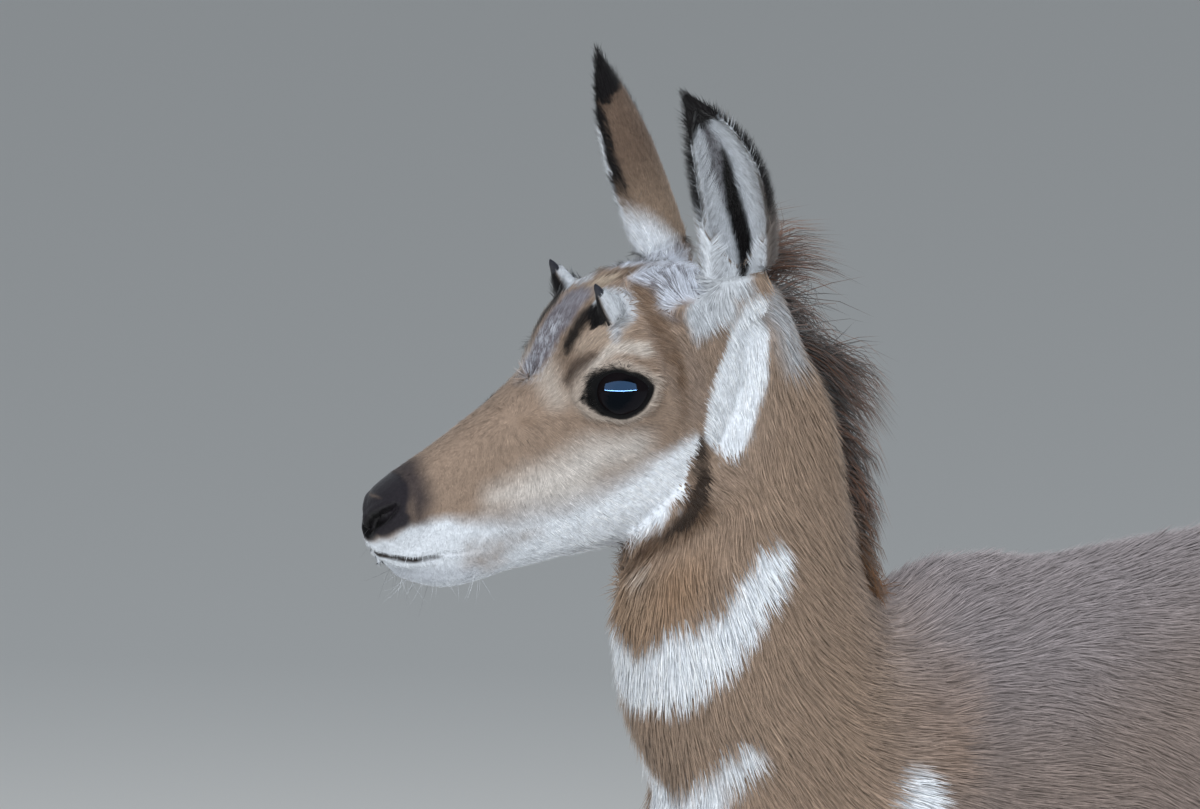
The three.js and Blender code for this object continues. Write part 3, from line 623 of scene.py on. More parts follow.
    # Brow: cream and tan above the eye, brown behind it, black from the bud down to the corner
    lay(tone(160, 143, 128), patch(cheek, [(74, 24, 20, 4), (64, 28, 20, 5), (55, 30, 17, 4)], 7) * 0.9)
    lay(pale, patch(cheek, [(76, 31, 11, 2), (64, 33, 14, 3.5), (54, 36, 6, 4), (50, 35, 2, 3)], 4) * 0.85)
    temple = [(42, 32, 8, 5), (43, 34, -6, 9), (41, 34, -20, 10), (44, 33, -34, 9)]
    lay(tone(138, 120, 107), patch(cheek, temple, 8))
    streak = [(36, 17, 25, 3), (37, 24, 19, 4.5), (39, 29, 12, 5), (41, 33, 3, 5), (43, 35, -8, 4.5), (46, 36, -20, 3)]
    lay(brown, patch(cheek, streak, 5) * (0.75 + 0.3 * fine[:, 2]))
    lay(brown, patch(cheek, [(47, 36, -22, 3), (52, 36, -34, 2.5), (60, 35, -38, 1)], 6) * 0.65)
    lay(mauve, patch(cheek, [(90, 0, 15, 8), (80, 0, 24, 10), (68, 0, 29, 10.5), (60, 0, 31, 9)], 6))
    light = patch(cheek, [(92, 0, 14, 9), (82, 0, 22, 10)], 12) * 0.75 + 0.25 * patch(cheek, [(66, 0, 29, 12)], 8)
    lay(tone(188, 191, 199), ease(-0.25, 0.3, tiny[:, 0] * 0.8 + fine[:, 0] * 0.3) * light)
    behind = [(49, 12, 28, 4), (46, 19, 25, 5), (48, 27, 21, 4.5), (54, 31, 22, 4.5), (60, 32, 17, 2)]
    lay(white * 0.62, patch(cheek, behind, 5) * (0.9 + 0.2 * tiny[:, 1]))
    lay(mauve * 0.6, ease(0.25, 0.5, tiny[:, 0]) * patch(cheek, behind, 2) * 0.6)
    lay(tone(70, 59, 52), patch(cheek + tiny, [(88, 23.5, 11, 3), (81, 26, 14.5, 4), (73, 29.5, 15, 2.2)], 5) * 0.92)
    from_bud = cheek - bud_foot
    round_bud = (np.hypot(from_bud[:, 0], from_bud[:, 1]) < 11) & (from_bud[:, 2] > 2)
    rear = ease(1.5, -1.0, from_bud[:, 0] - 0.5 * np.clip(from_bud[:, 1], 0, 9) + 0.3 * np.clip(from_bud[:, 1], -9, 0))
    lay(white * 0.55, round_bud * rear)
    lay(black, round_bud * (1 - rear))
    stripe = [(59, 20, 31, 3.6), (61, 17.5, 29, 4.6), (67, 16.5, 27, 4.6), (74, 17.5, 24.5, 4), (80, 18.5, 21, 3.2), (85, 19, 18, 1.6)]
    lay(black, patch(cheek + tiny * 1.2, stripe, 5) * 0.95)
    lay(brown, patch(cheek, [(115, 18, 4, 2), (112, 20, 2, 2)], 6) * 0.45)
    lay(brown, patch(cheek, [(97, 0, 14, 3)], 6) * 0.6)

    # White below the ear, down beside the throat, and paler grey behind it
    lay(white * 0.5, patch(cheek, [(-12, 8, -14, 11), (-14, 18, -34, 11), (-8, 25, -52, 8)], 13) * (0.75 + 0.35 * tiny[:, 2]))
    below = [(-3, 31, -12, 8), (6, 28, -26, 11), (17, 29, -37, 13.5), (29, 31, -46, 13), (38, 32, -55, 11)]
    lay(white * 0.95, patch(cheek, below + [(42, 34, -62, 6)], 3))
    # Painted shade again along the crease under the jaw, over the white laid above.
    lay(dark, patch(cheek, strip, 3.5) * 0.9)

    # Eye and nose: black rims and lids, a black nose that fades into the bridge
    eye_rim = past_rim(head + wander * 0.12, lid_rim)
    lay(pale, ease(5, 1.5, eye_rim) * 0.5)
    lay(black * 0.35, ease(0.9, -0.1, eye_rim))
    lay(tone(56, 50, 51), patch(cheek, [(170, 0, 13, 8), (172, 9, 10, 7), (175, 15, 3, 6), (180, 17, -3, 4)], 13) * 0.95)
    lay(white * 0.6, patch(cheek, [(199, 11, -7, 2.5), (192, 16, -9, 3.5), (184, 18, -10, 3)], 5) * 0.5)
    pad = [(182, 0, 12, 8), (182, 8, 9, 7.5), (186, 12, 5, 6.5), (194, 8, 6, 8), (198, 0, 6, 10), (201, 5, 5, 6), (197, 11, 1.5, 5.5), (188, 15, 1, 5.5), (203, 2, 0.5, 5), (201, 0, 8, 5)]
    nose = patch(cheek, pad, 4) * ease(-6, -3, cheek[:, 2] + 0.1 * (204 - cheek[:, 0]))
    lay(nose_grey, nose)
    # The nostril openings are painted near black: their own dark skin, and painted shade deep inside them.
    opening = [(202, 2, -1, 4), (197, 6, 3, 4), (191, 12, 5, 3), (187, 14, 6.5, 2)]
    lay(black * 0.4, patch(cheek, opening, 3))
    mouth = [(204, 1, -10, 1.2), (202, 8, -12.5, 1.6), (198.5, 12, -15.5, 1.8), (192, 14, -20.5, 1.8), (185, 15, -24.5, 1.4), (177, 17, -27.5, 0.3)]
    lip = patch(cheek, mouth, 2.2)
    lay(dark * 0.6, lip)

    # Ears: brown behind, black tips and rims, pale fur inside round a dark slit
    side, share, forward, deep, _, inward, _ = on_ears(head)
    front = (out @ head_axes * inward).sum(axis=1)
    ear, behind = (side != 0).astype(float), ease(0.35, 0.15, front)
    across = np.c_[share * 100, forward * 16, 0 * share]
    lay(tone(100, 83, 71), ear * behind)
    lay(tone(150, 130, 112), ear * behind * ease(0.58, 0.15, share) * 0.85)
    lay(tone(188, 193, 200), ear * (1 - behind))
    shaded = patch(across, [(77, 1.5, 0, 3), (66, 3, 0, 6), (54, 4.5, 0, 6), (42, 4.5, 0, 4)], 7)
    lay(mauve * 0.4, ear * (1 - behind) * shaded * (0.8 + 0.3 * tiny[:, 0]))
    lay(white * 0.9, ear * ease(0.02, 0.1, front) * ease(0.6, 0.85, np.abs(forward)) * ease(0.8, 0.7, share))
    white_base = ease(-0.09, 0.09, 0.3 - share - 0.24 * (1 - forward) + broad[:, 0] * 0.04)
    lay(white * 0.95, ear * (side < 0) * white_base * behind)
    lay(white * 0.7, ear * ease(0.16, 0.04, share) * (front > -0.2) * (side > 0))
    slit = [(64, -1.6, 0, 0.8), (50, 0.2, 0, 3.0), (36, 0.4, 0, 3.8), (26, -1.2, 0, 4.2), (20, -3.0, 0, 3.8), (12, -2.4, 0, 1.8)]
    lay(black * 0.7, ear * ease(0.1, 0.3, front) * patch(across, slit, 3.2))
    lay(tone(72, 56, 42), ear * ease(-0.7, -0.82, forward) * ease(0.6, 0.45, share) * (side > 0) * 0.9)
    lay(black, ear * ease(-0.84, -0.93, forward) * ease(0.28, 0.42, share))
    gap = (side < 0) * ease(0.42, 0.46, share) * ease(0.68, 0.64, share)
    lay(black, ear * ease(0.84, 0.93, forward) * ease(0.3, 0.45, share) * (1 - gap * (front > 0)))
    lay(black, ear * ease(0.765, 0.81, share + 0.03 * forward + fine[:, 2] * 0.012))
    return colour, nose, lip


skin_colour, nose, lip = coat_colour(positions(skin.data), normals(skin.data))
eye_rim = past_rim(head_mm(positions(skin.data)), lid_rim)


def paint(mesh, name, colours):
    layer = mesh.color_attributes.new(name, "FLOAT_COLOR", "POINT")
    layer.data.foreach_set("color", np.c_[colours, np.ones(len(colours))].ravel())


# The hide is painted a fifth darker than the hair over it, as painted shade deep between the hairs.
paint(skin.data, "Coat", skin_colour * 0.8)
damp = np.clip(nose + 0.2 * ease(0.8, -0.5, eye_rim), 0, 1)
paint(skin.data, "Damp", np.repeat(damp[:, None], 3, axis=1))

fur_tone = bpy.data.node_groups.new("fur tone", "ShaderNodeTree")
fur_tone.interface.new_socket("Colour", in_out="INPUT", socket_type="NodeSocketColor")
fur_tone.interface.new_socket("Grain", in_out="INPUT", socket_type="NodeSocketFloat")
fur_tone.interface.new_socket("Colour", in_out="OUTPUT", socket_type="NodeSocketColor")
fur_tone.interface.new_socket("Height", in_out="OUTPUT", socket_type="NodeSocketFloat")
nodes, links = fur_tone.nodes, fur_tone.links
given, result = nodes.new("NodeGroupInput"), nodes.new("NodeGroupOutput")
where, speckle = nodes.new("ShaderNodeTexCoord"), nodes.new("ShaderNodeTexNoise")
speckle.inputs["Detail"].default_value = 4
links.new(where.outputs["Object"], speckle.inputs["Vector"])
links.new(given.outputs["Grain"], speckle.inputs["Scale"])
shade, blend = nodes.new("ShaderNodeMapRange"), nodes.new("ShaderNodeHueSaturation")
shade.inputs["From Min"].default_value = 0.3
shade.inputs["From Max"].default_value = 0.7
shade.inputs["To Min"].default_value = 0.85
shade.inputs["To Max"].default_value = 1.12
links.new(speckle.outputs["Fac"], shade.inputs["Value"])
links.new(shade.outputs["Result"], blend.inputs["Value"])
links.new(given.outputs["Colour"], blend.inputs["Color"])
links.new(blend.outputs["Color"], result.inputs["Colour"])
links.new(speckle.outputs["Fac"], result.inputs["Height"])


def fur_paint(name, grain, roughness, sheen):
    made = bpy.data.materials.new(name)
    made.use_nodes = True
    nodes, links = made.node_tree.nodes, made.node_tree.links
    shader = nodes["Principled BSDF"]
    colour, tint = nodes.new("ShaderNodeVertexColor"), nodes.new("ShaderNodeGroup")
    bump = nodes.new("ShaderNodeBump")
    colour.layer_name = "Coat"
    tint.node_tree = fur_tone
    tint.inputs["Grain"].default_value = grain
    links.new(colour.outputs["Color"], tint.inputs["Colour"])
    links.new(tint.outputs["Colour"], shader.inputs["Base Color"])
    links.new(tint.outputs["Height"], bump.inputs["Height"])
    links.new(bump.outputs["Normal"], shader.inputs["Normal"])
    bump.inputs["Strength"].default_value = 0.4
    bump.inputs["Distance"].default_value = 0.0006
    shader.inputs["Roughness"].default_value = roughness
    shader.inputs["Specular IOR Level"].default_value = 0.3
    shader.inputs["Sheen Weight"].default_value = sheen
    shader.inputs["Sheen Roughness"].default_value = 0.4
    return made


# On the nose and the edges of the lids the skin is bare, pebbled and damp.
skin_paint = fur_paint("skin", 900, 0.8, 0.05)
skin_paint.node_tree.nodes["Principled BSDF"].inputs["Specular IOR Level"].default_value = 0.2
nodes, links = skin_paint.node_tree.nodes, skin_paint.node_tree.links
wet, dry = nodes.new("ShaderNodeVertexColor"), nodes.new("ShaderNodeMapRange")
wet.layer_name = "Damp"
dry.inputs["To Min"].default_value = 0.8
dry.inputs["To Max"].default_value = 0.3
links.new(wet.outputs["Color"], dry.inputs["Value"])
links.new(dry.outputs["Result"], nodes["Principled BSDF"].inputs["Roughness"])
skin.data.materials.clear()
skin.data.materials.append(skin_paint)
skin.data.shade_smooth()
bpy.context.view_layer.objects.active = skin
skin.select_set(True)
bpy.ops.object.mode_set(mode="EDIT")
bpy.ops.mesh.select_all(action="SELECT")
bpy.ops.uv.smart_project(angle_limit=math.radians(70), island_margin=0.002)
bpy.ops.object.mode_set(mode="OBJECT")
skin.data.uv_layers[0].name = "OFBake"
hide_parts(*trunk_parts, "tail", "neck", *face_parts)
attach(skin, "root")

# The lie of the coat: which way the hair runs at named places, forward over the muzzle, back
# over the brow, down the neck and legs, and back along the body. It turns smoothly between them.
head_lie = [
    ((195, 0, 11), (0.9, 0, -0.2)), ((170, 0, 13), (1, 0, -0.05)), ((140, 0, 14), (1, 0, 0.0)),
    ((118, 0, 15), (0.9, 0, 0.3)), ((180, 17, -10), (0.8, 0.1, -0.6)), ((160, 16, 0), (0.8, 0.1, -0.6)),
    ((140, 16, 0), (0.75, 0.1, -0.65)), ((130, 20, -18), (0.6, 0, -0.8)), ((165, 17, -22), (0.5, 0, -0.85)),
    ((145, 18, -34), (-0.1, 0, -1)), ((185, 14, -32), (0.1, 0, -1)), ((170, 12, -45), (-0.5, 0, -0.8)),
    ((195, 4, -32), (-0.2, 0, -1)), ((120, 20, -48), (-0.35, 0, -0.9)), ((140, 8, -60), (-0.7, 0, -0.6)),
    ((108, 12, 14), (-0.3, 0.3, 0.8)), ((98, 0, 15), (0.2, 0, 1)), ((88, 0, 19), (-0.8, 0, 0.6)),
    ((110, 22, -4), (-0.3, 0, -0.95)), ((104, 26, -18), (-0.4, 0, -0.9)), ((95, 30, -30), (-0.5, 0, -0.85)),
    ((72, 0, 30), (-0.9, 0, 0.4)), ((55, 0, 33), (-1, 0, 0.1)), ((30, 0, 28), (-1, 0, -0.2)),
    ((5, 0, 8), (-0.8, 0, -0.6)), ((92, 21, 12), (-0.8, 0.3, 0.4)), ((80, 25, 20), (-0.9, 0.2, 0.4)),
    ((80, 31, 12), (-0.9, 0.3, 0.2)), ((68, 34, 14), (-1, 0.2, 0.1)), ((54, 37, 6), (-0.9, 0.1, -0.5)),
    ((68, 38, -26), (-0.7, 0, -0.7)), ((84, 34, -26), (-0.55, 0, -0.8)), ((42, 32, 12), (-0.3, 0.2, -0.9)),
    ((44, 36, -8), (-0.3, 0, -0.95)), ((50, 36, -30), (-0.35, 0, -0.95)), ((60, 35, -48), (-0.3, 0, -0.95)),
    ((80, 30, -58), (-0.4, 0, -0.9)), ((100, 24, -62), (-0.5, 0, -0.85)), ((110, 10, -80), (-0.9, 0, -0.4)),
    ((60, 28, -72), (-0.2, 0, -1)), ((30, 24, 20), (0.5, -0.3, 0.6)), ((12, 22, 18), (-0.2, -0.5, 0.6)),
    ((24, 34, -6), (0.7, 0.1, -0.7)), ((14, 34, -14), (-0.1, 0.1, -1)), ((35, 34, -20), (0.2, 0, -1)),
]
body_lie = [
    ((128, 25, 780), (0.05, 0, -1)), ((130, 26, 755), (0.05, 0, -1)), ((165, 8, 700), (0.1, 0, -1)),
    ((182, 0, 650), (0.15, 0, -1)), ((162, 0, 590), (-0.1, 0, -1)), ((110, 32, 750), (-0.15, 0, -1)),
    ((110, 42, 700), (-0.35, 0, -1)), ((145, 30, 710), (0.15, 0, -1)), ((150, 40, 660), (-0.05, 0.2, -1)),
    ((120, 46, 665), (-0.3, 0, -1)), ((100, 48, 650), (-0.7, 0, -0.75)), ((70, 10, 740), (-0.35, 0, -1)),
    ((55, 10, 700), (-0.6, 0, -0.8)), ((40, 5, 690), (-0.9, 0, -0.5)), ((71, 46, 623), (-0.95, 0, -0.3)),
    ((120, 50, 600), (-0.6, 0.2, -0.85)), ((12, 50, 618), (-1, 0, -0.1)), ((-35, 65, 574), (-1, 0, -0.2)),
    ((22, 22, 663), (-0.85, 0, 0.25)), ((-31, 31, 660), (-0.9, 0, 0.15)), ((-53, 55, 614), (-0.85, 0, -0.5)),
    ((-88, 71, 575), (-0.8, 0, -0.6)), ((-90, 0, 680), (-1, 0, 0)), ((-150, 30, 678), (-1, 0, -0.15)),
    ((-300, 0, 698), (-1, 0, -0.05)), ((-200, 80, 560), (-0.85, 0, -0.5)), ((-100, 0, 414), (-1, 0, 0)),
    ((-100, 40, 440), (-0.9, -0.3, -0.3)), ((-230, 30, 440), (-1, 0, 0)), ((-330, 65, 560), (-0.6, 0, -0.8)),
    ((-390, 40, 650), (-0.6, 0, -0.8)), ((-424, 10, 640), (-0.2, 0.3, -1)), ((52, 60, 500), (-0.5, 0, -0.8)),
    ((45, 55, 430), (-0.3, 0, -1)), ((52, 50, 300), (-0.05, 0, -1)), ((52, 48, 100), (0, 0, -1)),
    ((-310, 55, 440), (-0.4, 0, -1)), ((-350, 50, 350), (-0.4, 0, -1)), ((-378, 50, 150), (0, 0, -1)),
    ((110, 0, 500), (-0.7, 0, -0.7)),
]


def lie_of_coat(places, facing):
    spots, ways = [], []
    for (x, y, z), way in head_lie:
        for sign in (1, -1) if y else (1,):
            spots.append(np.array([x, y * sign, z]) @ head_axes.T + poll)
            ways.append(np.array([way[0], way[1] * sign, way[2]]) @ head_axes.T)
    for (x, y, z), way in body_lie:
        for sign in (1, -1) if y else (1,):
            spots.append(np.array([x, y * sign, z]))
            ways.append(np.array([way[0], way[1] * sign, way[2]]))
    body, head = body_mm(places), head_mm(places)
    total = np.zeros_like(body)
    for spot, way in zip(spots, ways):
        nearness = 1 / (((body - spot) ** 2).sum(axis=1) + 40) ** 1.9
        total += nearness[:, None] * unit(way)
    side, share, forward, _, upwards, _, frontward = on_ears(head)
    edge = frontward * np.sign(forward)[:, None] * ease(0.5, 1.0, np.abs(forward))[:, None]
    ear_way = (upwards + edge * 0.5) @ head_axes.T
    total = np.where(((side != 0) & (share > 0.08))[:, None], ear_way, total)
    from_bud = both_sides(head) - bud_foot
    round_bud = (np.hypot(from_bud[:, 0], from_bud[:, 1]) < 9) & (from_bud[:, 2] > -1)
    up_bud = np.c_[-0.25 * from_bud[:, 0] - 2.2 * (from_bud[:, 0] < -1), -0.25 * from_bud[:, 1] * np.sign(head[:, 1]), np.full(len(head), 6.0)]
    total = np.where(round_bud[:, None], up_bud @ head_axes.T, total)
    total = body_turn(total)
    total -= (total * facing).sum(axis=1)[:, None] * facing
    return unit(total)


# The coat itself: thousands of small pointed tufts, rooted in the skin, that overlap and lie
# along it. Each is a thin three-sided spike, shortest on the face and feet.
def hairs(name, roots, facing, lie, length, width, lifts, colours, uvs, roll=None, root_shade_and_tip=(0.7, 1.1), flat=0.5):
    """One mesh of tapered hairs that leave the skin at the first lift and end at the last."""
    count, joints = len(roots), len(lifts)
    beside, ridge = np.cross(facing, lie), facing
    if roll is not None:
        ridge = np.cos(roll)[:, None] * facing + np.sin(roll)[:, None] * beside
        beside = np.cross(ridge, lie)
    rings = []
    spine = roots - facing * 0.0004
    for step in range(joints):
        taper = 1 - (step / joints) ** 1.5
        wide = (width * taper)[:, None]
        rings += [spine - beside * wide, spine + ridge * wide * 0.9, spine + beside * wide]
        rise = lifts[step][:, None]
        spine = spine + (length / joints)[:, None] * (lie * np.cos(rise) + facing * np.sin(rise))
    rings.append(spine)
    each = 3 * joints + 1
    corners = np.stack(rings, axis=1).reshape(-1, 3)
    faces = []
    for step in range(joints - 1):
        for a, b in ((0, 1), (1, 2), (2, 0)):
            low, high = 3 * step, 3 * step + 3
            faces += [(low + a, high + a, high + b), (low + a, high + b, low + b)]
    last = 3 * joints - 3
    faces += [(last, each - 1, last + 1), (last + 1, each - 1, last + 2), (last + 2, each - 1, last)]
    faces = np.array(faces)
    all_faces = (np.arange(count)[:, None, None] * each + faces[None]).reshape(-1, 3)
    mesh = bpy.data.meshes.new(name)
    mesh.vertices.add(len(corners))
    mesh.vertices.foreach_set("co", corners.ravel())
    mesh.loops.add(all_faces.size)
    mesh.loops.foreach_set("vertex_index", all_faces.ravel().astype(np.int32))
    mesh.polygons.add(len(all_faces))
    mesh.polygons.foreach_set("loop_start", np.arange(0, all_faces.size, 3, dtype=np.int32))
    mesh.update(calc_edges=True)
    # Each hair is painted darker at its root, as painted shade deep in the coat, and lighter towards its tip.
    along = np.r_[np.repeat(np.arange(joints) / joints, 3), 1.0]
    shade = np.interp(along, [0, 0.4, 1], [root_shade_and_tip[0], (root_shade_and_tip[0] + root_shade_and_tip[1]) / 2 + 0.05, root_shade_and_tip[1]])
    paint(mesh, "Coat", np.clip(colours[:, None, :] * shade[None, :, None], 0, 1).reshape(-1, 3))
    sideways = np.r_[np.tile([-0.0012, 0, 0.0012], joints), 0]
    patches = uvs[:, None, :] + np.stack([sideways, (along - 0.5) * 0.003], axis=1)[None]
    patches = patches.reshape(-1, 2)[all_faces.ravel()]
    layer = mesh.uv_layers.new(name="OFBake")
    layer.data.foreach_set("uv", patches.ravel())
    mesh.shade_smooth()
    # The light falls on a hair partly as on the hide beneath it, which keeps a flat coat soft.
    round_it = np.stack([ridge * 0.3 - beside, ridge, ridge * 0.3 + beside] * joints + [ridge], axis=1)
    soft = unit(unit(round_it) * (1 - flat) + facing[:, None, :] * flat)
    mesh.normals_split_custom_set_from_vertices(soft.reshape(-1, 3))
    piece = bpy.data.objects.new(name, mesh)
    bpy.context.scene.collection.objects.link(piece)
    mesh.materials.append(coat_paint)
    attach(piece, "root")
    return piece


coat_paint = fur_paint("coat", 350, 0.55, 0.18)
skin.data.calc_loop_triangles()
triangles = np.empty(len(skin.data.loop_triangles) * 3, dtype=np.int64)
skin.data.loop_triangles.foreach_get("vertices", triangles)
triangles = triangles.reshape(-1, 3)
loops = np.empty(len(skin.data.loop_triangles) * 3, dtype=np.int64)
skin.data.loop_triangles.foreach_get("loops", loops)
loops = loops.reshape(-1, 3)
skin_uv = np.empty(len(skin.data.loops) * 2)
skin.data.uv_layers["OFBake"].data.foreach_get("uv", skin_uv)
skin_uv = skin_uv.reshape(-1, 2)
places, facing = positions(skin.data), normals(skin.data)
corners = places[triangles]
area = np.linalg.norm(np.cross(corners[:, 1] - corners[:, 0], corners[:, 2] - corners[:, 0]), axis=1) / 2
chance = np.random.default_rng(11)


def sow(count, weight):
    """Roots spread over the skin: place, facing, and place on the skin's unwrap."""
    total = np.cumsum(area * weight[triangles].mean(axis=1))
    pick = np.searchsorted(total, chance.uniform(0, total[-1], count))
    u, v = chance.uniform(0, 1, count), chance.uniform(0, 1, count)
    over = u + v > 1
    u[over], v[over] = 1 - u[over], 1 - v[over]
    share = np.stack([1 - u - v, u, v], axis=1)[:, :, None]
    roots = (corners[pick] * share).sum(axis=1)
    out = unit((facing[triangles[pick]] * share).sum(axis=1))
    return roots, out, (skin_uv[loops[pick]] * share).sum(axis=1)


def flatten(ways, out):
    """The directions laid along the skin."""
    return unit(ways - (ways * out).sum(axis=1)[:, None] * out)


def lift_of_coat(places):
    """Degrees that the hair stands off the skin."""
    head = head_mm(places)
    cheek = both_sides(head)
    lift = 14 + 16 * patch(cheek, [(50, 20, -76, 12), (78, 10, -86, 12), (110, 6, -78, 8)], 14)
    lift += 28 * patch(cheek, [(97, 0, 14, 4)], 6) + 24 * ease(45, 31, places[:, 2] * 1000)
    lift -= 4 * patch(cheek, [(120, 0, 0, 20), (190, 0, -10, 30)], 20)
    from_bud = cheek - bud_foot
    lift[(np.hypot(from_bud[:, 0], from_bud[:, 1]) < 11) & (from_bud[:, 2] > 2)] = 6
    side, _, forward = on_ears(head)[:3]
    lift[side != 0] = (12 + 22 * ease(0.75, 1.0, np.abs(forward)))[side != 0]
    return lift


length, on_head = coat_length(places)
head = head_mm(places)
bare = (past_rim(head, lid_rim) < 0.4) | (nose > 0.45) | (lip > 0.5)
which = on_ears(head)[0]
long_coat = (length > 7.2) & (which == 0)
for name, part, count in [("coat_short", ~long_coat & ~bare, 186000), ("coat_long", long_coat & ~bare, 250000)]:
    roots, out, uvs = sow(count, part / length**1.5)
    hair_length = coat_length(roots)[0] * chance.uniform(0.75, 1.2, count) * 0.001
    bud = both_sides(head_mm(roots)) - bud_foot
    neat = 1 - 0.8 * ((np.hypot(bud[:, 0], bud[:, 1]) < 12) & (bud[:, 2] > 0))[:, None]
    lie = lie_of_coat(roots, out)
    stray = drift(roots, 0.008, 21) * 0.22 + drift(roots, 0.003, 22) * 0.14 + chance.normal(0, 0.07, (count, 3))
    lie = flatten(lie + stray * neat, out)
    # Each hair shows the colour of the place that it lies over.
    colours = coat_colour(roots + lie * hair_length[:, None] * 0.55, out)[0]
    grain = 0.19 if name == "coat_short" else 0.17
    colours = colours * (1 + chance.normal(0, grain, count) + drift(roots, 0.004, 31)[:, 0] * 0.08)[:, None]
    lift = np.radians(np.clip(chance.normal(0, 4, count) * neat[:, 0] + lift_of_coat(roots), 3, 60))
    width = np.clip(hair_length * 0.042, 0.00015, 0.00037)
    # Painted shade at the roots of the hairs, and lighter tips.
    root_shade_and_tip = (0.78, 1.1) if name == "coat_short" else (0.68, 1.12)
    for number, low in enumerate(range(0, count, 66000)):
        s = slice(low, min(low + 66000, count))
        hairs(
            f"{name}_{number + 1}", roots[s], out[s], lie[s], hair_length[s], width[s], [lift[s]],
            colours[s], uvs[s], root_shade_and_tip=root_shade_and_tip, flat=0.65 if name == "coat_short" else 0.45,
        )

# The ears hold longer, paler hair that grows from their rims and from beside the dark slit in
# towards the middle, and a short fringe stands along their edges.
side, share, forward, deep, upwards, inward, frontward = on_ears(head)
front = (body_turn(facing) @ head_axes * inward).sum(axis=1)
inside = (side != 0) & (front > 0.25) & (share > 0.06) & (share < 0.8) & (np.abs(forward) < 0.76)
roots, out, uvs = sow(6500, inside * (0.3 + ease(0.3, 0.8, np.abs(forward))))
side, share, forward, deep, upwards, inward, frontward = on_ears(head_mm(roots))
ways = upwards * 0.8 - frontward * np.sign(forward)[:, None] * ease(0.1, 0.9, np.abs(forward))[:, None] * 0.7
lie = flatten(body_turn(ways @ head_axes.T) + drift(roots, 0.006, 51) * 0.3, out)
fluff = np.interp(np.abs(forward), [0, 0.5, 1], [5, 9, 13]) * np.interp(share, [0, 0.7, 0.9], [1, 0.9, 0.5])
fluff = fluff * chance.uniform(0.6, 1.1, len(roots)) * 0.001
stand = np.radians(chance.normal(28, 8, len(roots)))
colours = coat_colour(roots, out)[0]
brightness = colours.mean(axis=1)
colours = colours + (white * 0.75 - colours) * (0.4 * ease(0.15, 0.4, brightness) * ease(0.25, 0.6, np.abs(forward)) * ease(0.78, 0.68, share))[:, None]
hairs(
    "ear_fluff", roots, out, lie, fluff, np.full(len(roots), 0.00016), [stand, stand * 0.3],
    colours * chance.uniform(0.85, 1.1, len(roots))[:, None], uvs,
)
side, share, forward = on_ears(head)[:3]
rims = (side != 0) & (np.abs(forward) > 0.9) & (share > 0.12)
roots, out, uvs = sow(5400, rims * (1 + 2 * (share > 0.9)))
side, share, forward, _, upwards, _, frontward = on_ears(head_mm(roots))
ways = upwards + frontward * np.sign(forward)[:, None] * 0.7
lie = unit(body_turn(ways @ head_axes.T) + chance.normal(0, 0.12, (len(roots), 3)))
hairs(
    "ear_fringe", roots, out, lie, chance.uniform(0.004, 0.0075, len(roots)) * (1 + 0.8 * ease(0.85, 1, share)), np.full(len(roots), 0.00015),
    [np.zeros(len(roots)), np.zeros(len(roots))], coat_colour(roots, out)[0], uvs,
)

# The mane: coarse brown hair that stands off the crest of the neck and bends over down it. It is
# rooted in the skin along a narrow strip from the poll to the withers.
body = body_mm(places)
crest_middle = np.interp(body[:, 2], crest_rows[:, 0], crest_rows[:, 1])
crest_aside = np.interp(body[:, 2], crest_rows[:, 0], crest_rows[:, 2])
strip = (body[:, 0] < crest_middle) & (np.abs(body[:, 1] - crest_aside) < 15)
strip = strip & (body[:, 2] > 668) & (body[:, 2] < 826) & (on_head < 0.5) & (which == 0)
strip = strip & (body[:, 0] > -5 + (body[:, 2] < 690) * 35)
nape = patch(body, [(96, -6, 798, 9), (102, -7, 812, 9), (112, -8, 826, 7)], 3) * (which == 0)
roots, out, uvs = sow(5200, np.maximum(strip, nape))
count, height = len(roots), body_mm(roots)[:, 2]
mane_length = np.interp(height, [668, 690, 740, 790, 825], [14, 24, 38, 54, 48]) * 0.001
mane_length = mane_length * chance.uniform(0.55, 1.1, count)
fall = np.interp(height, [700, 760, 800, 825], [-1.0, -0.75, -0.2, 0.25])
lie = body_turn(np.c_[np.full(count, -0.5), np.zeros(count), fall]) + drift(roots, 0.014, 41) * 0.6
lie = flatten(lie + drift(roots, 0.006, 43) * 0.7 + chance.normal(0, 0.08, (count, 3)), out)
mane_colour = dark * 0.4 + (tone(114, 74, 50) - dark * 0.4) * chance.uniform(0, 1, count)[:, None] ** 1.3
mane_colour = mane_colour + (tone(88, 60, 34) - mane_colour) * (0.7 * ease(730, 690, height))[:, None]
stand = chance.normal(0.8, 0.18, count)
# The mane's hairs are painted dark at the root as painted shade, and lighter at the tip.
hairs(
    "mane", roots, out, lie, mane_length, np.full(count, 0.00034), [stand, stand * 0.6, stand * 0.15],
    mane_colour, uvs, roll=chance.uniform(-0.6, 0.6, count), root_shade_and_tip=(0.6, 1.5),
)

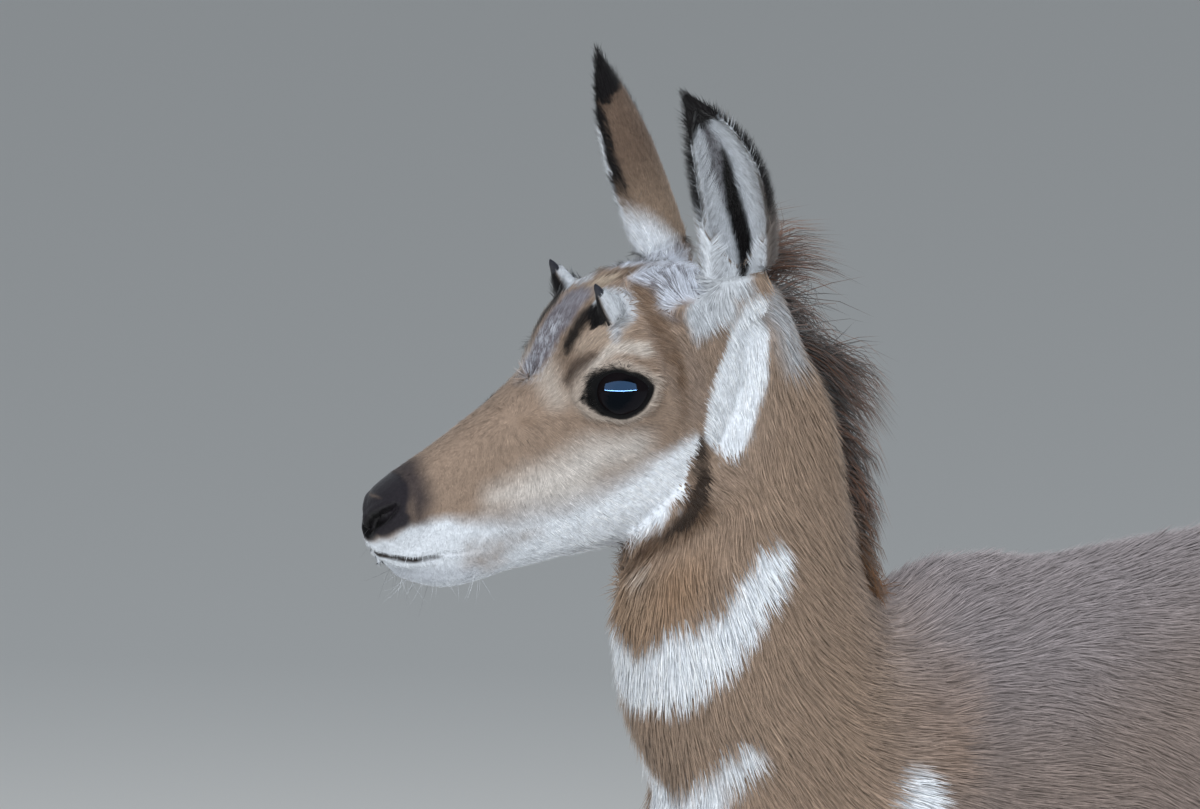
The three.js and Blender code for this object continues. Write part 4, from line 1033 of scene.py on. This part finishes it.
# Whiskers stand from the lips and the chin, a few long hairs from the crown, and lashes from
# the edges of the lids.
cheek = both_sides(head)
chin = patch(cheek, [(198, 4, -28, 5), (188, 10, -32, 7), (172, 12, -42, 6)], 4)
chin = chin + 0.8 * patch(cheek, [(190, 15, -16, 5), (176, 18, -22, 5)], 4)
roots, out, uvs = sow(90, chin * (nose < 0.2) * (lip < 0.1))
count = len(roots)
down = body_turn(np.tile([0.45, 0, -0.4], (count, 1)) @ head_axes.T)
lie = flatten(down + chance.normal(0, 0.25, (count, 3)), out)
stand = np.radians(chance.normal(42, 10, count))
hairs(
    "whiskers", roots, out, lie, chance.uniform(0.008, 0.024, count), np.full(count, 0.00007),
    [stand, stand * 0.8, stand * 0.5], np.tile(white, (count, 1)) * chance.uniform(0.6, 1.0, count)[:, None], uvs,
)
crown = patch(cheek, [(12, 0, 12, 16), (-8, 0, -10, 14)], 8) * (which == 0)
roots, out, uvs = sow(60, crown)
count = len(roots)
lie = flatten(body_turn(np.tile([-0.6, 0, 0.2], (count, 1)) @ head_axes.T) + chance.normal(0, 0.3, (count, 3)), out)
stand = np.radians(chance.normal(50, 14, count))
hairs(
    "crown_hairs", roots, out, lie, chance.uniform(0.01, 0.02, count), np.full(count, 0.00012),
    [stand, stand * 0.7], np.tile(grey, (count, 1)), uvs,
)
rim = past_rim(head, lid_rim)
turn = round_eye(head)[1]
upper_lid = ease(20, 45, turn) * ease(180, 150, turn)
roots, out, uvs = sow(420, ((rim > -0.6) & (rim < 1.0)) * (upper_lid + 0.1 * ((turn > 230) & (turn < 320))))
count = len(roots)
across_eye = unit(both_sides(head_mm(roots)) - eye_middle) @ eye_axes.T
away = np.c_[across_eye[:, :2] * 1.0, np.full(count, 0.0)]
away[:, 1] -= 0.5 * (round_eye(head_mm(roots))[1] < 190)
away = unit(away + [0.15, 0, 0]) + [0, 0, 0.9]
mirror = np.where(head_mm(roots)[:, 1:2] < 0, -1.0, 1.0)
ways = away @ eye_axes * np.c_[np.ones(count), mirror, np.ones(count)]
lie = unit(body_turn(ways @ head_axes.T) + chance.normal(0, 0.12, (count, 3)))
upper = round_eye(head_mm(roots))[1] < 190
hairs(
    "lashes", roots, out, lie, np.where(upper, 0.0065, 0.0035) * chance.uniform(0.7, 1.1, count),
    np.full(count, 0.00012), [np.zeros(count), np.zeros(count)], np.tile(black * 0.7, (count, 1)), uvs,
)

# The eyes: dark wet balls behind the lids, nearly black, with a long level pupil in a deep
# brown ring. Each is one polished ball that the lids slide over.
eye_paint = bpy.data.materials.new("eye")
eye_paint.use_nodes = True
nodes, links = eye_paint.node_tree.nodes, eye_paint.node_tree.links
shader, colour = nodes["Principled BSDF"], nodes.new("ShaderNodeVertexColor")
colour.layer_name = "Iris"
links.new(colour.outputs["Color"], shader.inputs["Base Color"])
shader.inputs["Roughness"].default_value = 0.03
shader.inputs["Specular IOR Level"].default_value = 0.07
shader.inputs["Specular Tint"].default_value = (0.45, 0.7, 1, 1)
for side, sign in (("left", 1), ("right", -1)):
    ball = bmesh.new()
    bmesh.ops.create_uvsphere(ball, u_segments=64, v_segments=40, radius=1)
    gaze = eye_axes[2] * [1, sign, 1]
    spots = np.array([vertex.co for vertex in ball.verts])
    toward = spots @ gaze
    bulge = 18.3 + 0.8 * ease(0.72, 0.95, toward)
    level = unit(np.cross([0.37, 0, 0.93], gaze))
    rise = np.cross(gaze, level)
    pupil = np.sqrt((spots @ level / 0.42) ** 2 + (spots @ rise / 0.24) ** 2)
    iris = ease(1.0, 1.25, pupil)[:, None] * tone(12, 8, 8) + tone(3, 3, 4)
    for vertex, place in zip(ball.verts, from_head(spots * bulge[:, None] + eye_middle * [1, sign, 1])):
        vertex.co = place
    eye = bpy.data.objects.new(f"eyeball_{side}", bpy.data.meshes.new(f"eyeball_{side}"))
    bmesh.ops.recalc_face_normals(ball, faces=ball.faces)
    ball.to_mesh(eye.data)
    ball.free()
    paint(eye.data, "Iris", np.where((toward > 0)[:, None], iris, tone(6, 5, 5)))
    eye.data.shade_smooth()
    eye.data.materials.append(eye_paint)
    bpy.context.scene.collection.objects.link(eye)
    eyes_only.objects.link(eye)
    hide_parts(f"eye_{side}")
    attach(eye, "root")

# The horn buds and the hoofs: dark smooth horn. Only the tips of the buds show above the hair
# that climbs them, and two claws close each foot below the hair of the pastern.
def horn_paint(name, base, roughness, ringed):
    made = bpy.data.materials.new(name)
    made.use_nodes = True
    nodes, links = made.node_tree.nodes, made.node_tree.links
    shader, where, rings = nodes["Principled BSDF"], nodes.new("ShaderNodeTexCoord"), nodes.new("ShaderNodeTexWave")
    rings.bands_direction = "Z"
    rings.inputs["Scale"].default_value = 160
    rings.inputs["Distortion"].default_value = 3
    rings.inputs["Detail"].default_value = 3
    links.new(where.outputs["Object"], rings.inputs["Vector"])
    ramp, bump = nodes.new("ShaderNodeMix"), nodes.new("ShaderNodeBump")
    ramp.data_type = "RGBA"
    ramp.inputs["A"].default_value = (*(base * (1 - 0.4 * ringed)), 1)
    ramp.inputs["B"].default_value = (*(base * (1 + 0.5 * ringed)), 1)
    links.new(rings.outputs["Fac"], ramp.inputs["Factor"])
    links.new(ramp.outputs["Result"], shader.inputs["Base Color"])
    links.new(rings.outputs["Fac"], bump.inputs["Height"])
    bump.inputs["Strength"].default_value = 0.35 * ringed
    bump.inputs["Distance"].default_value = 0.0004
    links.new(bump.outputs["Normal"], shader.inputs["Normal"])
    shader.inputs["Roughness"].default_value = roughness
    return made


claw_paint = horn_paint("hoof", tone(50, 45, 43), 0.5, 0.3)
bud_paint = horn_paint("horn", tone(30, 31, 38), 0.5, 0.2)
for node in [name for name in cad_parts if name.startswith(("claw", "horn_bud"))]:
    claw = node.startswith("claw")
    mesh = gather([node], node + "_horn")
    if not claw:
        foot = bud_foot * [1, 1 if node.endswith("left") else -1, 1]
        place_at(mesh, from_head((head_mm(positions(mesh)) - foot) * [0.5, 0.5, 0.97] + foot))
    piece = grow_skin(mesh, node + "_horn", 0.0012 if claw else 0.0006)
    relax(piece.data, 22 if claw else 6, np.ones(len(piece.data.vertices)))
    if claw:
        # narrower at the coronet, and flat where it stands
        spots = positions(piece.data)
        middle = (spots.max(axis=0) + spots.min(axis=0)) / 2
        below = 0.027 - 0.36 * (spots[:, 0] - middle[0]) - spots[:, 2]
        narrow = np.interp(spots[:, 2], [0.002, spots[:, 2].max()], [1, 0.85])[:, None]
        narrow *= np.interp(below, [0, 0.002, 0.005], [0.8, 0.92, 1])[:, None]
        spots[:, :2] = middle[:2] + (spots[:, :2] - middle[:2]) * narrow
        spots[:, 2] = np.maximum(spots[:, 2], 0)
        place_at(piece.data, spots)
    piece.data.shade_smooth()
    piece.data.materials.clear()
    piece.data.materials.append(claw_paint if claw else bud_paint)
    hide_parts(node)
    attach(piece, "root")
